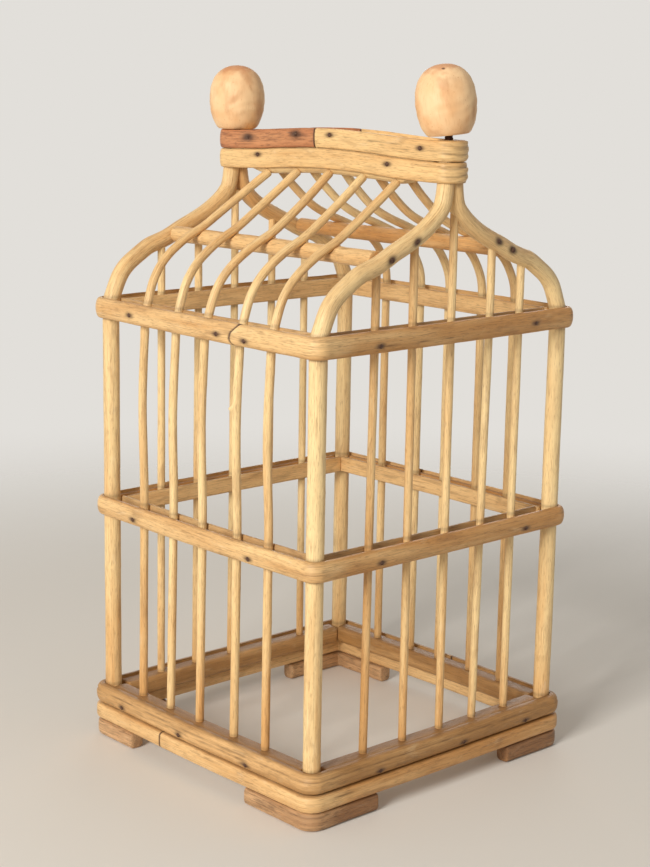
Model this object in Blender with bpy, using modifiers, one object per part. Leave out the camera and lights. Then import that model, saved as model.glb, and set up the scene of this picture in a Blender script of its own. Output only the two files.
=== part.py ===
"""Rattan bird cage with an ogee roof and two turned finials.

Four corner posts are bent at the top into S-shaped legs that meet in pairs under a ridge.
Thin bars stand in drilled rails on each side. The bars of the two long sides go on as roof
ribs and end in the ridge core. Split-cane hoops wrap the rails and the posts, two purlins
carry the ribs, four bent feet carry the base, and an egg-shaped finial turns on a screw at
each end of the ridge.

Frame: +Z up, origin on the table in the middle between the feet, ridge along X, the two
gables face -X and +X. Run with: blender --background --python part.py
"""
import math

import bmesh
import bpy
from mathutils import Vector

MM = 0.001

# Plan: distances from the middle of the cage to the axes of the corner posts.
HALF_LENGTH = 83.0 * MM
HALF_WIDTH = 86.0 * MM

# Gap kept between touching pieces, and overrun of a cutter past the face it opens.
GAP = 0.3 * MM
OVERRUN = 1.0 * MM

# Poles.
POST_DIAMETER = 9.0 * MM
RIB_DIAMETER = 4.6 * MM
GABLE_BAR_DIAMETER = 4.3 * MM
PURLIN_DIAMETER = 8.6 * MM
BAR_INSET = 1.5 * MM
FRONT_SWAY = 2.0 * MM

# Levels above the table.
FOOT_HEIGHT = 9.5 * MM
LOWER_HOOP_HEIGHT = 9.0 * MM
UPPER_HOOP_HEIGHT = 10.8 * MM
MID_HOOP_BOTTOM = 127.3 * MM
MID_HOOP_HEIGHT = 10.5 * MM
TOP_HOOP_BOTTOM = 235.8 * MM
TOP_HOOP_HEIGHT = 11.2 * MM
RIDGE_BOTTOM = 315.1 * MM
RIDGE_BAND_HEIGHT = 10.3 * MM

# Hoops and rails: radial thickness, and how far the walls bow out between the posts.
LOWER_HOOP_THICKNESS = 9.0 * MM
LOWER_HOOP_REACH = 9.5 * MM
UPPER_HOOP_THICKNESS = 4.9 * MM
MID_HOOP_THICKNESS = 3.5 * MM
TOP_HOOP_THICKNESS = 3.5 * MM
BUTT_JOINT = 0.4 * MM
LONG_BOW = 1.2 * MM
GABLE_BOW = 0.6 * MM
RAIL_REACH_IN = 6.6 * MM
INNER_STRIP_THICKNESS = 2.2 * MM
STRIP_DROP = 0.6 * MM
BAR_SOCKET_DEPTH = 7.5 * MM
BAR_TENON = 3.0 * MM

# Feet: bent pieces under the corners.
FOOT_THICKNESS = 8.4 * MM
FOOT_REACH = 8.8 * MM
FOOT_ARM = 42.0 * MM

# Ridge.
POST_TOP_OFFSET = 2.9 * MM
BAND_THICKNESS = 1.9 * MM
BAND_END_REACH = 5.9 * MM
CORE_DROP = 3.2 * MM
CORE_RECESS = 1.0 * MM
RIDGE_LIFT = 3.2 * MM
RIDGE_FALL = 1.5 * MM
RIB_TOP_OFFSET = 5.5 * MM
RIB_TOP_DROP = 2.0 * MM

# Purlins: their place in the gable plane, as a share of the half width, and how far their axis
# stands above the arches. The nails go through the arches into their ends, nearer the ridge.
PURLIN_OFFSET_SHARE = 0.529
PURLIN_RISE = 0.8 * MM
NAIL_SHIFT = 2.2 * MM
NAIL_DIAMETER = 1.6 * MM
NAIL_HEAD_DIAMETER = 2.8 * MM
NAIL_HEAD_HEIGHT = 0.7 * MM
NAIL_BITE = 7.0 * MM

# Outline of a nail's round head, as shares of its radius and height.
NAIL_HEAD_SHARES = ((0.0, 1.0), (0.5, 0.85), (1.0, 0.25), (1.0, 0.0))

# Finials and their screws.
FINIAL_INSETS = {"left": 1.0 * MM, "right": 2.0 * MM}
FINIAL_RAISES = {"left": 0.0 * MM, "right": 1.1 * MM}
FINIAL_DIAMETER = 30.8 * MM
FINIAL_HEIGHT = 34.6 * MM
FINIAL_HOLE_DIAMETER = 5.2 * MM
FINIAL_HOLE_DEPTH = 16.0 * MM
SCREW_DIAMETER = 4.4 * MM
SCREW_GROOVE = 0.35 * MM
SCREW_PITCH = 1.6 * MM
SCREW_BITE = 9.0 * MM
SCREW_HOLE_DIAMETER = 5.0 * MM
FINIAL_LEAN = math.radians(6.5)
FINIAL_LEAN_TOWARDS = math.radians(227.5)

# Places of the bars along their wall, as shares of the half length of that wall: at the
# base and at the top hoop, then for the ribs at the ridge, and their sideways bow in the roof.
FRONT_BAR_SHARES = ((-0.685, -0.650, -0.574, -0.045), (-0.380, -0.318, -0.289, -0.025),
                    (-0.073, -0.030, 0.014, 0.035), (0.266, 0.300, 0.322, 0.015),
                    (0.560, 0.580, 0.620, 0.0))
BACK_BAR_SHARES = ((-0.566, -0.566, -0.600, 0.0), (-0.235, -0.232, -0.290, 0.0),
                   (0.040, 0.035, 0.005, 0.0), (0.345, 0.340, 0.315, 0.0), (0.635, 0.636, 0.610, 0.0))
RIGHT_BAR_SHARES = ((-0.580, -0.558), (-0.257, -0.263), (0.058, 0.056), (0.352, 0.390), (0.649, 0.657))
LEFT_BAR_SHARES = ((-0.625, -0.617), (-0.330, -0.315), (-0.025, -0.010), (0.300, 0.310), (0.605, 0.600))

# Roof outlines from the top hoop to the ridge, as shares of the way in and of the way up.
ARCH_SHARES = ((0.0, -0.03), (0.02, 0.03), (0.07, 0.165), (0.13, 0.25), (0.20, 0.31), (0.30, 0.385),
               (0.37, 0.413), (0.457, 0.45), (0.577, 0.522), (0.673, 0.572), (0.794, 0.645),
               (0.89, 0.725), (0.938, 0.779), (0.975, 0.84), (0.996, 0.957), (1.0, 1.10))
FRONT_RIB_SHARES = ((0.025, 0.0), (0.082, 0.19), (0.184, 0.345), (0.348, 0.485), (0.50, 0.577),
                    (0.665, 0.71), (0.842, 0.86), (1.0, 1.0))
BACK_RIB_SHARES = ((-0.005, 0.0), (0.019, 0.16), (0.108, 0.335), (0.234, 0.452), (0.399, 0.540),
                   (0.57, 0.617), (0.728, 0.712), (0.892, 0.872), (1.0, 1.0))

# Outline of a finial from its flat base to its crown, as shares of radius and height.
FINIAL_SHARES = ((0.66, 0.0), (0.75, 0.04), (0.86, 0.13), (0.95, 0.26), (0.99, 0.39), (1.0, 0.52),
                 (0.96, 0.65), (0.87, 0.77), (0.72, 0.87), (0.52, 0.94), (0.27, 0.985))

# Arms of the feet, as shares of the longest arm: along the long side, along the gable.
FOOT_ARM_SHARES = (("front_left", -1, -1, 0.67, 0.93), ("front_right", 1, -1, 1.0, 0.93),
                   ("back_right", 1, 1, 0.95, 0.86), ("back_left", -1, 1, 0.90, 0.90))

# Joints of the hoops, as shares of the half length of their wall.
LOWER_HOOP_JOINT_SHARE = -0.33
UPPER_HOOP_JOINT_SHARE = 0.10
MID_HOOP_JOINT_SHARE = -0.25
TOP_HOOP_JOINT_SHARE = 0.36
BAND_FRONT_JOINT_SHARE = -0.09
BAND_BACK_JOINT_SHARE = 0.12

# Levels and radii that follow from the sizes above.
POST_RADIUS = POST_DIAMETER / 2
HOOP_INSIDE = POST_RADIUS + GAP
LOWER_HOOP_BOTTOM = FOOT_HEIGHT + GAP
UPPER_HOOP_BOTTOM = LOWER_HOOP_BOTTOM + LOWER_HOOP_HEIGHT + GAP
UPPER_HOOP_TOP = UPPER_HOOP_BOTTOM + UPPER_HOOP_HEIGHT
TOP_HOOP_TOP = TOP_HOOP_BOTTOM + TOP_HOOP_HEIGHT
UPPER_BAND_BOTTOM = RIDGE_BOTTOM + RIDGE_BAND_HEIGHT + GAP
RIDGE_TOP = UPPER_BAND_BOTTOM + RIDGE_BAND_HEIGHT
LAP_HALF_WIDTH = POST_TOP_OFFSET + POST_RADIUS
PURLIN_OFFSET = HALF_WIDTH * PURLIN_OFFSET_SHARE
BAND_HALF_WIDTH = LAP_HALF_WIDTH + GAP + BAND_THICKNESS / 2

# Steps of the round pieces and of the lines they follow.
POST_RESOLUTION = 4
BAR_RESOLUTION = 2
BLOCK_SIDES = 12
STRIP_SIDES = 8
WALL_STEPS = 6
CORNER_STEPS = 5
BAND_STEPS = 6
LOOP_TURNS = 8
BAR_STEPS = 6
ARCH_STEPS = 22
RIB_STEPS = 15
FINIAL_SIDES = 24
SCREW_SIDES = 12
NAIL_SIDES = 10
DRILL_SIDES = 12


class Wall:
    """One side of the cage: the line through two post axes, which bows out in the middle."""

    def __init__(self, name, along, outward, half, distance, bow, sway=0.0, roof=None):
        self.name = name
        self.along = Vector(along)
        self.outward = Vector(outward)
        self.half = half
        self.distance = distance
        self.bow = bow
        self.sway = sway
        self.roof = roof

    def bulge(self, place):
        """Outward bow at a place along the wall: none at the posts, most in the middle."""
        return self.bow * math.cos(math.pi / 2 * place / self.half) ** 2

    def point(self, place, out, level):
        """World point at a place along the wall, a distance outside its line, and a level."""
        plan = self.along * place + self.outward * (self.distance + self.bulge(place) + out)
        return Vector((plan.x, plan.y, level))


FRONT = Wall("front", (1, 0, 0), (0, -1, 0), HALF_LENGTH, HALF_WIDTH, LONG_BOW, FRONT_SWAY,
             FRONT_RIB_SHARES)
RIGHT = Wall("right", (0, 1, 0), (1, 0, 0), HALF_WIDTH, HALF_LENGTH, GABLE_BOW)
BACK = Wall("back", (1, 0, 0), (0, 1, 0), HALF_LENGTH, HALF_WIDTH, LONG_BOW, 0.0, BACK_RIB_SHARES)
LEFT = Wall("left", (0, 1, 0), (-1, 0, 0), HALF_WIDTH, HALF_LENGTH, GABLE_BOW)
WALLS_ROUND = ((FRONT, 1), (RIGHT, 1), (BACK, -1), (LEFT, -1))


def clear_scene():
    """Empty the scene without closing the file."""
    for old in list(bpy.data.objects):
        bpy.data.objects.remove(old, do_unlink=True)


def make_collection(name):
    group = bpy.data.collections.new(name)
    bpy.context.scene.collection.children.link(group)
    return group


def make_material(name, colour, roughness, metallic=0.0):
    """A Principled material with one colour."""
    material = bpy.data.materials.new(name)
    material.use_nodes = True
    shader = material.node_tree.nodes["Principled BSDF"]
    shader.inputs["Base Color"].default_value = (*colour, 1.0)
    shader.inputs["Roughness"].default_value = roughness
    shader.inputs["Metallic"].default_value = metallic
    return material


def add_part(name, data, material, group):
    """Put mesh or curve data into the scene as a named sub-part."""
    part = bpy.data.objects.new(name, data)
    part.data.materials.append(material)
    group.objects.link(part)
    return part


def make_guide(part):
    """Mark an object as a cutter or guide that isn't a part of the cage."""
    part.hide_render = True
    part.display_type = "WIRE"
    return part


def smooth_line(points, steps):
    """Points at equal steps of parameter on a Catmull-Rom curve through the given points."""
    ends = [points[0] * 2 - points[1]] + list(points) + [points[-1] * 2 - points[-2]]
    spans = len(points) - 1
    line = []
    for step in range(steps + 1):
        position = min(step / steps * spans, spans - 1e-9)
        span = int(position)
        t = position - span
        before, start, end, after = ends[span:span + 4]
        line.append(((start * 2) + (end - before) * t
                     + (before * 2 - start * 5 + end * 4 - after) * t ** 2
                     + (start * 3 - before - end * 3 + after) * t ** 3) / 2)
    return line


def line_curve(name, points):
    """A curve data block with one straight-edged spline through the points."""
    curve = bpy.data.curves.new(name, "CURVE")
    curve.dimensions = "3D"
    curve.use_fill_caps = True
    spline = curve.splines.new("POLY")
    spline.points.add(len(points) - 1)
    for place, point in zip(spline.points, points):
        place.co = (*point, 1.0)
    return curve


def pole(name, points, diameter, material, group, resolution=3):
    """A round pole: a tube along the points with closed ends, smooth along its length."""
    curve = line_curve(name, points)
    curve.twist_mode = "MINIMUM"
    curve.bevel_depth = diameter / 2
    curve.bevel_resolution = resolution
    curve.splines[0].use_smooth = True
    return add_part(name, curve, material, group)


def section_curve(name, outline, guides):
    """A closed flat outline that a hoop or rail carries along its line."""
    curve = bpy.data.curves.new(name, "CURVE")
    curve.dimensions = "2D"
    spline = curve.splines.new("POLY")
    spline.points.add(len(outline) - 1)
    for place, (across, up) in zip(spline.points, reversed(outline)):
        place.co = (across, up, 0.0, 1.0)
    spline.use_cyclic_u = True
    section = bpy.data.objects.new(name, curve)
    guides.objects.link(section)
    return make_guide(section)


def swept(name, points, section, material, group):
    """A piece with a shaped section carried along a line, its ends closed."""
    curve = line_curve(name, points)
    curve.twist_mode = "Z_UP"
    curve.bevel_mode = "OBJECT"
    curve.bevel_object = section
    return add_part(name, curve, material, group)


def as_mesh(part):
    """Turn a curve sub-part into a mesh sub-part of the same name, with its caps welded."""
    name = part.name
    bpy.context.view_layer.update()
    evaluated = part.evaluated_get(bpy.context.evaluated_depsgraph_get())
    mesh = bpy.data.meshes.new_from_object(evaluated)
    shape = bmesh.new()
    shape.from_mesh(mesh)
    bmesh.ops.remove_doubles(shape, verts=shape.verts, dist=GAP / 10)
    bmesh.ops.recalc_face_normals(shape, faces=shape.faces)
    shape.to_mesh(mesh)
    shape.free()
    mesh.name = name
    solid = bpy.data.objects.new(name + ".solid", mesh)
    solid.matrix_world = part.matrix_world.copy()
    for group in part.users_collection:
        group.objects.link(solid)
    curve = part.data
    bpy.data.objects.remove(part, do_unlink=True)
    bpy.data.curves.remove(curve)
    solid.name = name
    return solid


def cut(part, cutter):
    """Take the cutter's volume out of a mesh sub-part."""
    boolean = part.modifiers.new("cut " + cutter.name, "BOOLEAN")
    boolean.operation = "DIFFERENCE"
    boolean.solver = "EXACT"
    boolean.object = cutter


def half_round(thickness, height, steps=6, fullness=0.6):
    """Section of a split cane: flat inside, crowned outside, middle of its thickness at zero."""
    outline = []
    for step in range(steps + 1):
        angle = math.pi * (step / steps - 0.5)
        crown = max(math.cos(angle), 0.0) ** fullness
        outline.append((thickness * (crown - 0.5), height / 2 * math.sin(angle)))
    return outline


def rounded_block(width, height, sides=BLOCK_SIDES, squareness=4.0):
    """Section of a rail: a rectangle with well-rounded corners (a superellipse)."""
    outline = []
    widest = math.cos(math.pi / sides) ** (2 / squareness)
    for side in range(sides):
        angle = 2 * math.pi * (side + 0.5) / sides
        across = math.copysign(abs(math.cos(angle)) ** (2 / squareness), math.cos(angle))
        up = math.copysign(abs(math.sin(angle)) ** (2 / squareness), math.sin(angle))
        outline.append((width / 2 * across / widest, height / 2 * up / widest))
    return outline


def hoop_line(offset, level, joint_wall, joint_share):
    """Line of a bent hoop that runs once round the cage and starts and ends at its joint."""
    order = list(WALLS_ROUND)
    while order[0][0] is not joint_wall:
        order = order[1:] + order[:1]
    order.append(order[0])
    line = []
    joint = joint_share * joint_wall.half
    for turn, (wall, sense) in enumerate(order):
        start = -wall.half * sense
        end = wall.half * sense
        if turn == 0:
            start = joint + sense * BUTT_JOINT / 2
        if turn == len(order) - 1:
            end = joint - sense * BUTT_JOINT / 2
        share = abs(end - start) / (2 * wall.half)
        steps = max(2, round(WALL_STEPS * share))
        for step in range(steps + 1):
            line.append(wall.point(start + (end - start) * step / steps, offset, level))
        if turn < len(order) - 1:
            following = order[turn + 1][0]
            corner = wall.along * (sense * wall.half) + wall.outward * wall.distance
            corner.z = level
            for step in range(1, CORNER_STEPS):
                angle = math.pi / 2 * step / CORNER_STEPS
                turned = wall.outward * math.cos(angle) + following.outward * math.sin(angle)
                line.append(corner + turned * offset)
    return line


def hoop(name, outline, inside, thickness, levels, joint, material, group, guides):
    """A cane hoop bent round the four posts, open by a hair at its joint."""
    bottom, height = levels
    section = section_curve(name + "_section", outline, guides)
    line = hoop_line(inside + thickness / 2, bottom + height / 2, *joint)
    return swept(name, line, section, material, group)


def strip(name, wall, inner, outer, bottom, top, reach, sides, material, group, guides):
    """A straight rail or strip along a wall, between two distances from the wall's line."""
    section = section_curve(name + "_section", rounded_block(outer - inner, top - bottom, sides), guides)
    line = []
    for step in range(WALL_STEPS + 1):
        place = reach * (2 * step / WALL_STEPS - 1)
        line.append(wall.point(place, (inner + outer) / 2, (bottom + top) / 2))
    return swept(name, line, section, material, group)


def ridge_lift(place):
    """How far the ridge stands above its right end: it bows up, and falls to the left."""
    bow = RIDGE_LIFT * math.cos(math.pi / 2 * place / HALF_LENGTH) ** 2
    return bow - RIDGE_FALL * (1 - place / HALF_LENGTH) / 2


def arch_line(x_sense, y_sense):
    """Axis of the bent part of a post, from the top hoop to the top of the ridge."""
    points = []
    x = x_sense * HALF_LENGTH
    rise = RIDGE_BOTTOM + ridge_lift(x) - TOP_HOOP_TOP
    for inward, upward in ARCH_SHARES:
        y = HALF_WIDTH + (POST_TOP_OFFSET - HALF_WIDTH) * inward
        points.append(Vector((x, y_sense * y, TOP_HOOP_TOP + rise * upward)))
    line = smooth_line(points, ARCH_STEPS)
    line.append(Vector((x, y_sense * POST_TOP_OFFSET, RIDGE_TOP + ridge_lift(x))))
    return line


def arch_offset(level, x_sense=1):
    """Distance of a post's axis from the ridge plane at a level in the roof."""
    line = arch_line(x_sense, 1)
    for lower, upper in zip(line, line[1:]):
        if lower.z <= level <= upper.z:
            share = (level - lower.z) / (upper.z - lower.z)
            return lower.y + (upper.y - lower.y) * share
    return HALF_WIDTH


def arch_level(offset, x_sense=1):
    """Level of a post's axis in the roof at a distance from the ridge plane."""
    line = arch_line(x_sense, 1)
    for outer, inner in zip(line, line[1:]):
        if outer.y >= offset > inner.y:
            share = (outer.y - offset) / (outer.y - inner.y)
            return outer.z + (inner.z - outer.z) * share
    return RIDGE_BOTTOM


def corner_post(name, x_sense, y_sense, material, group):
    """A corner post: straight up to the top hoop, then bent in its gable plane."""
    foot = Vector((x_sense * HALF_LENGTH, y_sense * HALF_WIDTH, UPPER_HOOP_BOTTOM))
    line = [foot] + arch_line(x_sense, y_sense)
    return as_mesh(pole(name, line, POST_DIAMETER, material, group, POST_RESOLUTION))


def bar_place(wall, shares, level):
    """Place of a bar along its wall at a level: a straight lean with a slight bend."""
    base, top = shares[0], shares[1]
    rise = (level - UPPER_HOOP_TOP) / (TOP_HOOP_TOP - UPPER_HOOP_TOP)
    sway = 0.0
    middle = MID_HOOP_BOTTOM + MID_HOOP_HEIGHT
    if middle < level < TOP_HOOP_TOP:
        share = (level - middle) / (TOP_HOOP_TOP - middle)
        sway = -wall.sway * math.sin(math.pi * share) ** 2
    return wall.half * (base + (top - base) * min(max(rise, 0.0), 1.0)) + sway


def rib_line(wall, shares, spare=0.0):
    """Axis of a long-side bar: up its wall, over the purlin and into the ridge core."""
    floor = UPPER_HOOP_TOP - BAR_SOCKET_DEPTH - spare
    line = []
    for step in range(BAR_STEPS + 1):
        level = floor + (TOP_HOOP_BOTTOM - floor) * step / BAR_STEPS
        line.append(wall.point(bar_place(wall, shares, level), -BAR_INSET, level))
    top_place, ridge_place, bow = (wall.half * share for share in shares[1:])
    start_out = wall.distance - BAR_INSET
    rise = RIDGE_BOTTOM - RIB_TOP_DROP + ridge_lift(ridge_place) - TOP_HOOP_TOP
    points = [line[-1]]
    for inward, upward in wall.roof:
        place = top_place + (ridge_place - top_place) * inward + 4 * bow * inward * (1 - inward)
        distance = start_out + (RIB_TOP_OFFSET - start_out) * inward
        distance += wall.bulge(place) * (1 - inward) ** 2
        plan = wall.along * place + wall.outward * distance
        points.append(Vector((plan.x, plan.y, TOP_HOOP_TOP + rise * upward)))
    roof = smooth_line(points, RIB_STEPS)
    if spare:
        roof.append(roof[-1] + (roof[-1] - roof[-2]).normalized() * spare)
    return line[:-1] + roof


def gable_bar_line(wall, shares, spare=0.0):
    """Axis of a gable bar: straight up from its rail into the underside of the arch."""
    floor = UPPER_HOOP_TOP - BAR_SOCKET_DEPTH - spare
    x_sense = wall.outward.x
    crotch = arch_offset(RIDGE_BOTTOM - RIDGE_FALL, x_sense) + GABLE_BAR_DIAMETER / 2
    seat = max(abs(wall.half * shares[1]), crotch)
    ceiling = arch_level(seat, x_sense) - POST_RADIUS + BAR_TENON + spare
    line = []
    for step in range(BAR_STEPS + 1):
        level = floor + (ceiling - floor) * step / BAR_STEPS
        line.append(wall.point(bar_place(wall, shares, level), -BAR_INSET, level))
    return line


def foot(name, x_sense, y_sense, x_arm, y_arm, material, group, guides):
    """A bent foot under a corner, with one arm along each wall."""
    section = section_curve(name + "_section", rounded_block(FOOT_THICKNESS, FOOT_HEIGHT), guides)
    offset = FOOT_REACH - FOOT_THICKNESS / 2
    corner = Vector((x_sense * HALF_LENGTH, y_sense * HALF_WIDTH, FOOT_HEIGHT / 2))
    across = Vector((x_sense, 0, 0))
    aside = Vector((0, y_sense, 0))
    line = [corner - across * x_arm + aside * offset]
    for step in range(CORNER_STEPS + 1):
        angle = math.pi / 2 * step / CORNER_STEPS
        line.append(corner + (aside * math.cos(angle) + across * math.sin(angle)) * offset)
    line.append(corner - aside * y_arm + across * offset)
    return swept(name, line, section, material, group)


def racetrack(turn):
    """Plan point of a ridge band's line: turns 0-1 front, 1-2 right end, 2-3 back, 3-4 left end."""
    quarter = int(turn) % 4
    share = turn - int(turn)
    sense = 1 if quarter < 2 else -1
    if quarter in (0, 2):
        return sense * HALF_LENGTH * (2 * share - 1), -sense * BAND_HALF_WIDTH
    angle = math.pi * share
    reach = BAND_END_REACH + BAND_THICKNESS / 2
    return sense * (HALF_LENGTH + reach * math.sin(angle)), -sense * BAND_HALF_WIDTH * math.cos(angle)


def band(name, bottom, start, end, material, group, guides):
    """A split-cane band round the post tops and the ridge core, between two turns of the loop."""
    section = section_curve(name + "_section", half_round(BAND_THICKNESS, RIDGE_BAND_HEIGHT), guides)
    joint = BUTT_JOINT / (4 * HALF_LENGTH)
    stops = [step / BAND_STEPS for step in range(LOOP_TURNS * BAND_STEPS)]
    turns = [start + joint] + [turn for turn in stops if start + 2 * joint < turn < end - 2 * joint]
    turns.append(end - joint)
    line = []
    for turn in turns:
        x, y = racetrack(turn)
        along = min(max(x, -HALF_LENGTH), HALF_LENGTH)
        line.append(Vector((x, y, bottom + RIDGE_BAND_HEIGHT / 2 + ridge_lift(along))))
    return swept(name, line, section, material, group)


def ridge_core(name, material, group, guides):
    """The ridge pole between the two pairs of post tops, which takes the rib ends."""
    bottom = RIDGE_BOTTOM - CORE_DROP
    top = RIDGE_TOP - CORE_RECESS
    section = section_curve(name + "_section", rounded_block(2 * LAP_HALF_WIDTH, top - bottom), guides)
    reach = HALF_LENGTH - POST_RADIUS - 2 * GAP
    line = []
    for step in range(2 * BAND_STEPS + 1):
        x = reach * (step / BAND_STEPS - 1)
        line.append(Vector((x, 0.0, (bottom + top) / 2 + ridge_lift(x))))
    return as_mesh(swept(name, line, section, material, group))


def finial(name, material, group):
    """An egg-shaped turned finial with a blind hole for its screw, its base at the origin."""
    radius = FINIAL_DIAMETER / 2
    hole = FINIAL_HOLE_DIAMETER / 2
    outline = [(0.0, FINIAL_HEIGHT)]
    for out, up in reversed(FINIAL_SHARES):
        outline.append((radius * out, FINIAL_HEIGHT * up))
    outline += [(hole, 0.0), (hole, FINIAL_HOLE_DEPTH), (0.0, FINIAL_HOLE_DEPTH + hole / 2)]
    return turned(name, outline, FINIAL_SIDES, material, group)


def finial_screw(name, material, group):
    """A wood screw, with its origin at the level of the finial's base."""
    radius = SCREW_DIAMETER / 2
    top = FINIAL_HOLE_DEPTH - GAP
    outline = [(0.0, top), (radius / 2, top)]
    level = top - SCREW_PITCH / 2
    while level > -SCREW_BITE + SCREW_PITCH:
        outline.append((radius, level))
        outline.append((radius - SCREW_GROOVE, level - SCREW_PITCH / 2))
        level -= SCREW_PITCH
    outline += [(radius / 2, -SCREW_BITE + SCREW_PITCH / 4), (0.0, -SCREW_BITE)]
    return turned(name, outline, SCREW_SIDES, material, group)


def turned(name, outline, sides, material, group):
    """A turned piece: an outline of (radius, height) at +X, spun once about Z."""
    mesh = bpy.data.meshes.new(name)
    points = [(radius, 0.0, height) for radius, height in outline]
    edges = [(i, i + 1) for i in range(len(points) - 1)]
    mesh.from_pydata(points, edges, [])
    part = add_part(name, mesh, material, group)
    spin = part.modifiers.new("spin", "SCREW")
    spin.axis = "Z"
    spin.steps = sides
    spin.render_steps = sides
    spin.use_merge_vertices = True
    spin.merge_threshold = GAP / 10
    spin.use_smooth_shade = True
    return part


def cylinder_between(name, start, end, diameter, group):
    """A plain cylinder from one point to another, used as a drill."""
    axis = end - start
    bpy.ops.mesh.primitive_cylinder_add(vertices=DRILL_SIDES, radius=diameter / 2, depth=axis.length)
    drill = bpy.context.active_object
    drill.name = name
    drill.location = (start + end) / 2
    drill.rotation_mode = "QUATERNION"
    drill.rotation_quaternion = axis.to_track_quat("Z", "Y")
    for old in list(drill.users_collection):
        old.objects.unlink(drill)
    group.objects.link(drill)
    return make_guide(drill)


def box(name, centre, size, group):
    """A plain box used as a cutter."""
    bpy.ops.mesh.primitive_cube_add(size=1.0)
    cutter = bpy.context.active_object
    cutter.name = name
    cutter.location = centre
    cutter.scale = size
    for old in list(cutter.users_collection):
        old.objects.unlink(cutter)
    group.objects.link(cutter)
    return make_guide(cutter)


def roof_purlin(name, y_sense, material, group):
    """A roof pole butted between the two gable arches."""
    reach = HALF_LENGTH - POST_RADIUS - GAP
    line = []
    for x_sense in (-1, 1):
        level = arch_level(PURLIN_OFFSET, x_sense) + PURLIN_RISE
        line.append(Vector((x_sense * reach, y_sense * PURLIN_OFFSET, level)))
    return as_mesh(pole(name, line, PURLIN_DIAMETER, material, group, POST_RESOLUTION))


def purlin_nail(name, x_sense, y_sense, material, group, spare=0.0):
    """A round-headed nail driven through an arch into the end of a purlin."""
    radius = NAIL_DIAMETER / 2 + spare
    head = NAIL_HEAD_DIAMETER / 2
    length = POST_DIAMETER + GAP + NAIL_BITE + spare
    outline = [(head * out, NAIL_HEAD_HEIGHT * up) for out, up in NAIL_HEAD_SHARES]
    outline += [(radius, 0.0), (radius, NAIL_DIAMETER - length), (0.0, -length)]
    nail = turned(name, outline, NAIL_SIDES, material, group)
    offset = PURLIN_OFFSET - NAIL_SHIFT
    nail.location = (x_sense * (HALF_LENGTH + POST_RADIUS + GAP), y_sense * offset,
                     arch_level(offset, x_sense))
    nail.rotation_euler = (0.0, x_sense * math.pi / 2, 0.0)
    return nail


def place_finial(name, x, lean, raised, ball, screw, group):
    """Set a finial and its screw over the ridge end; the empty stands on the finial's axis."""
    base_radius = FINIAL_DIAMETER / 2 * FINIAL_SHARES[0][0]
    lift = GAP + base_radius * math.sin(lean) + raised
    axis = bpy.data.objects.new(name, None)
    axis.location = (x, 0.0, RIDGE_TOP + ridge_lift(math.copysign(HALF_LENGTH, x)) + lift)
    tilt = Vector((math.cos(FINIAL_LEAN_TOWARDS), math.sin(FINIAL_LEAN_TOWARDS), 0.0)) * math.sin(lean)
    tilt.z = math.cos(lean)
    axis.rotation_mode = "QUATERNION"
    axis.rotation_quaternion = tilt.to_track_quat("Z", "Y")
    group.objects.link(axis)
    ball.parent = axis
    screw.parent = axis
    return axis


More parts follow.
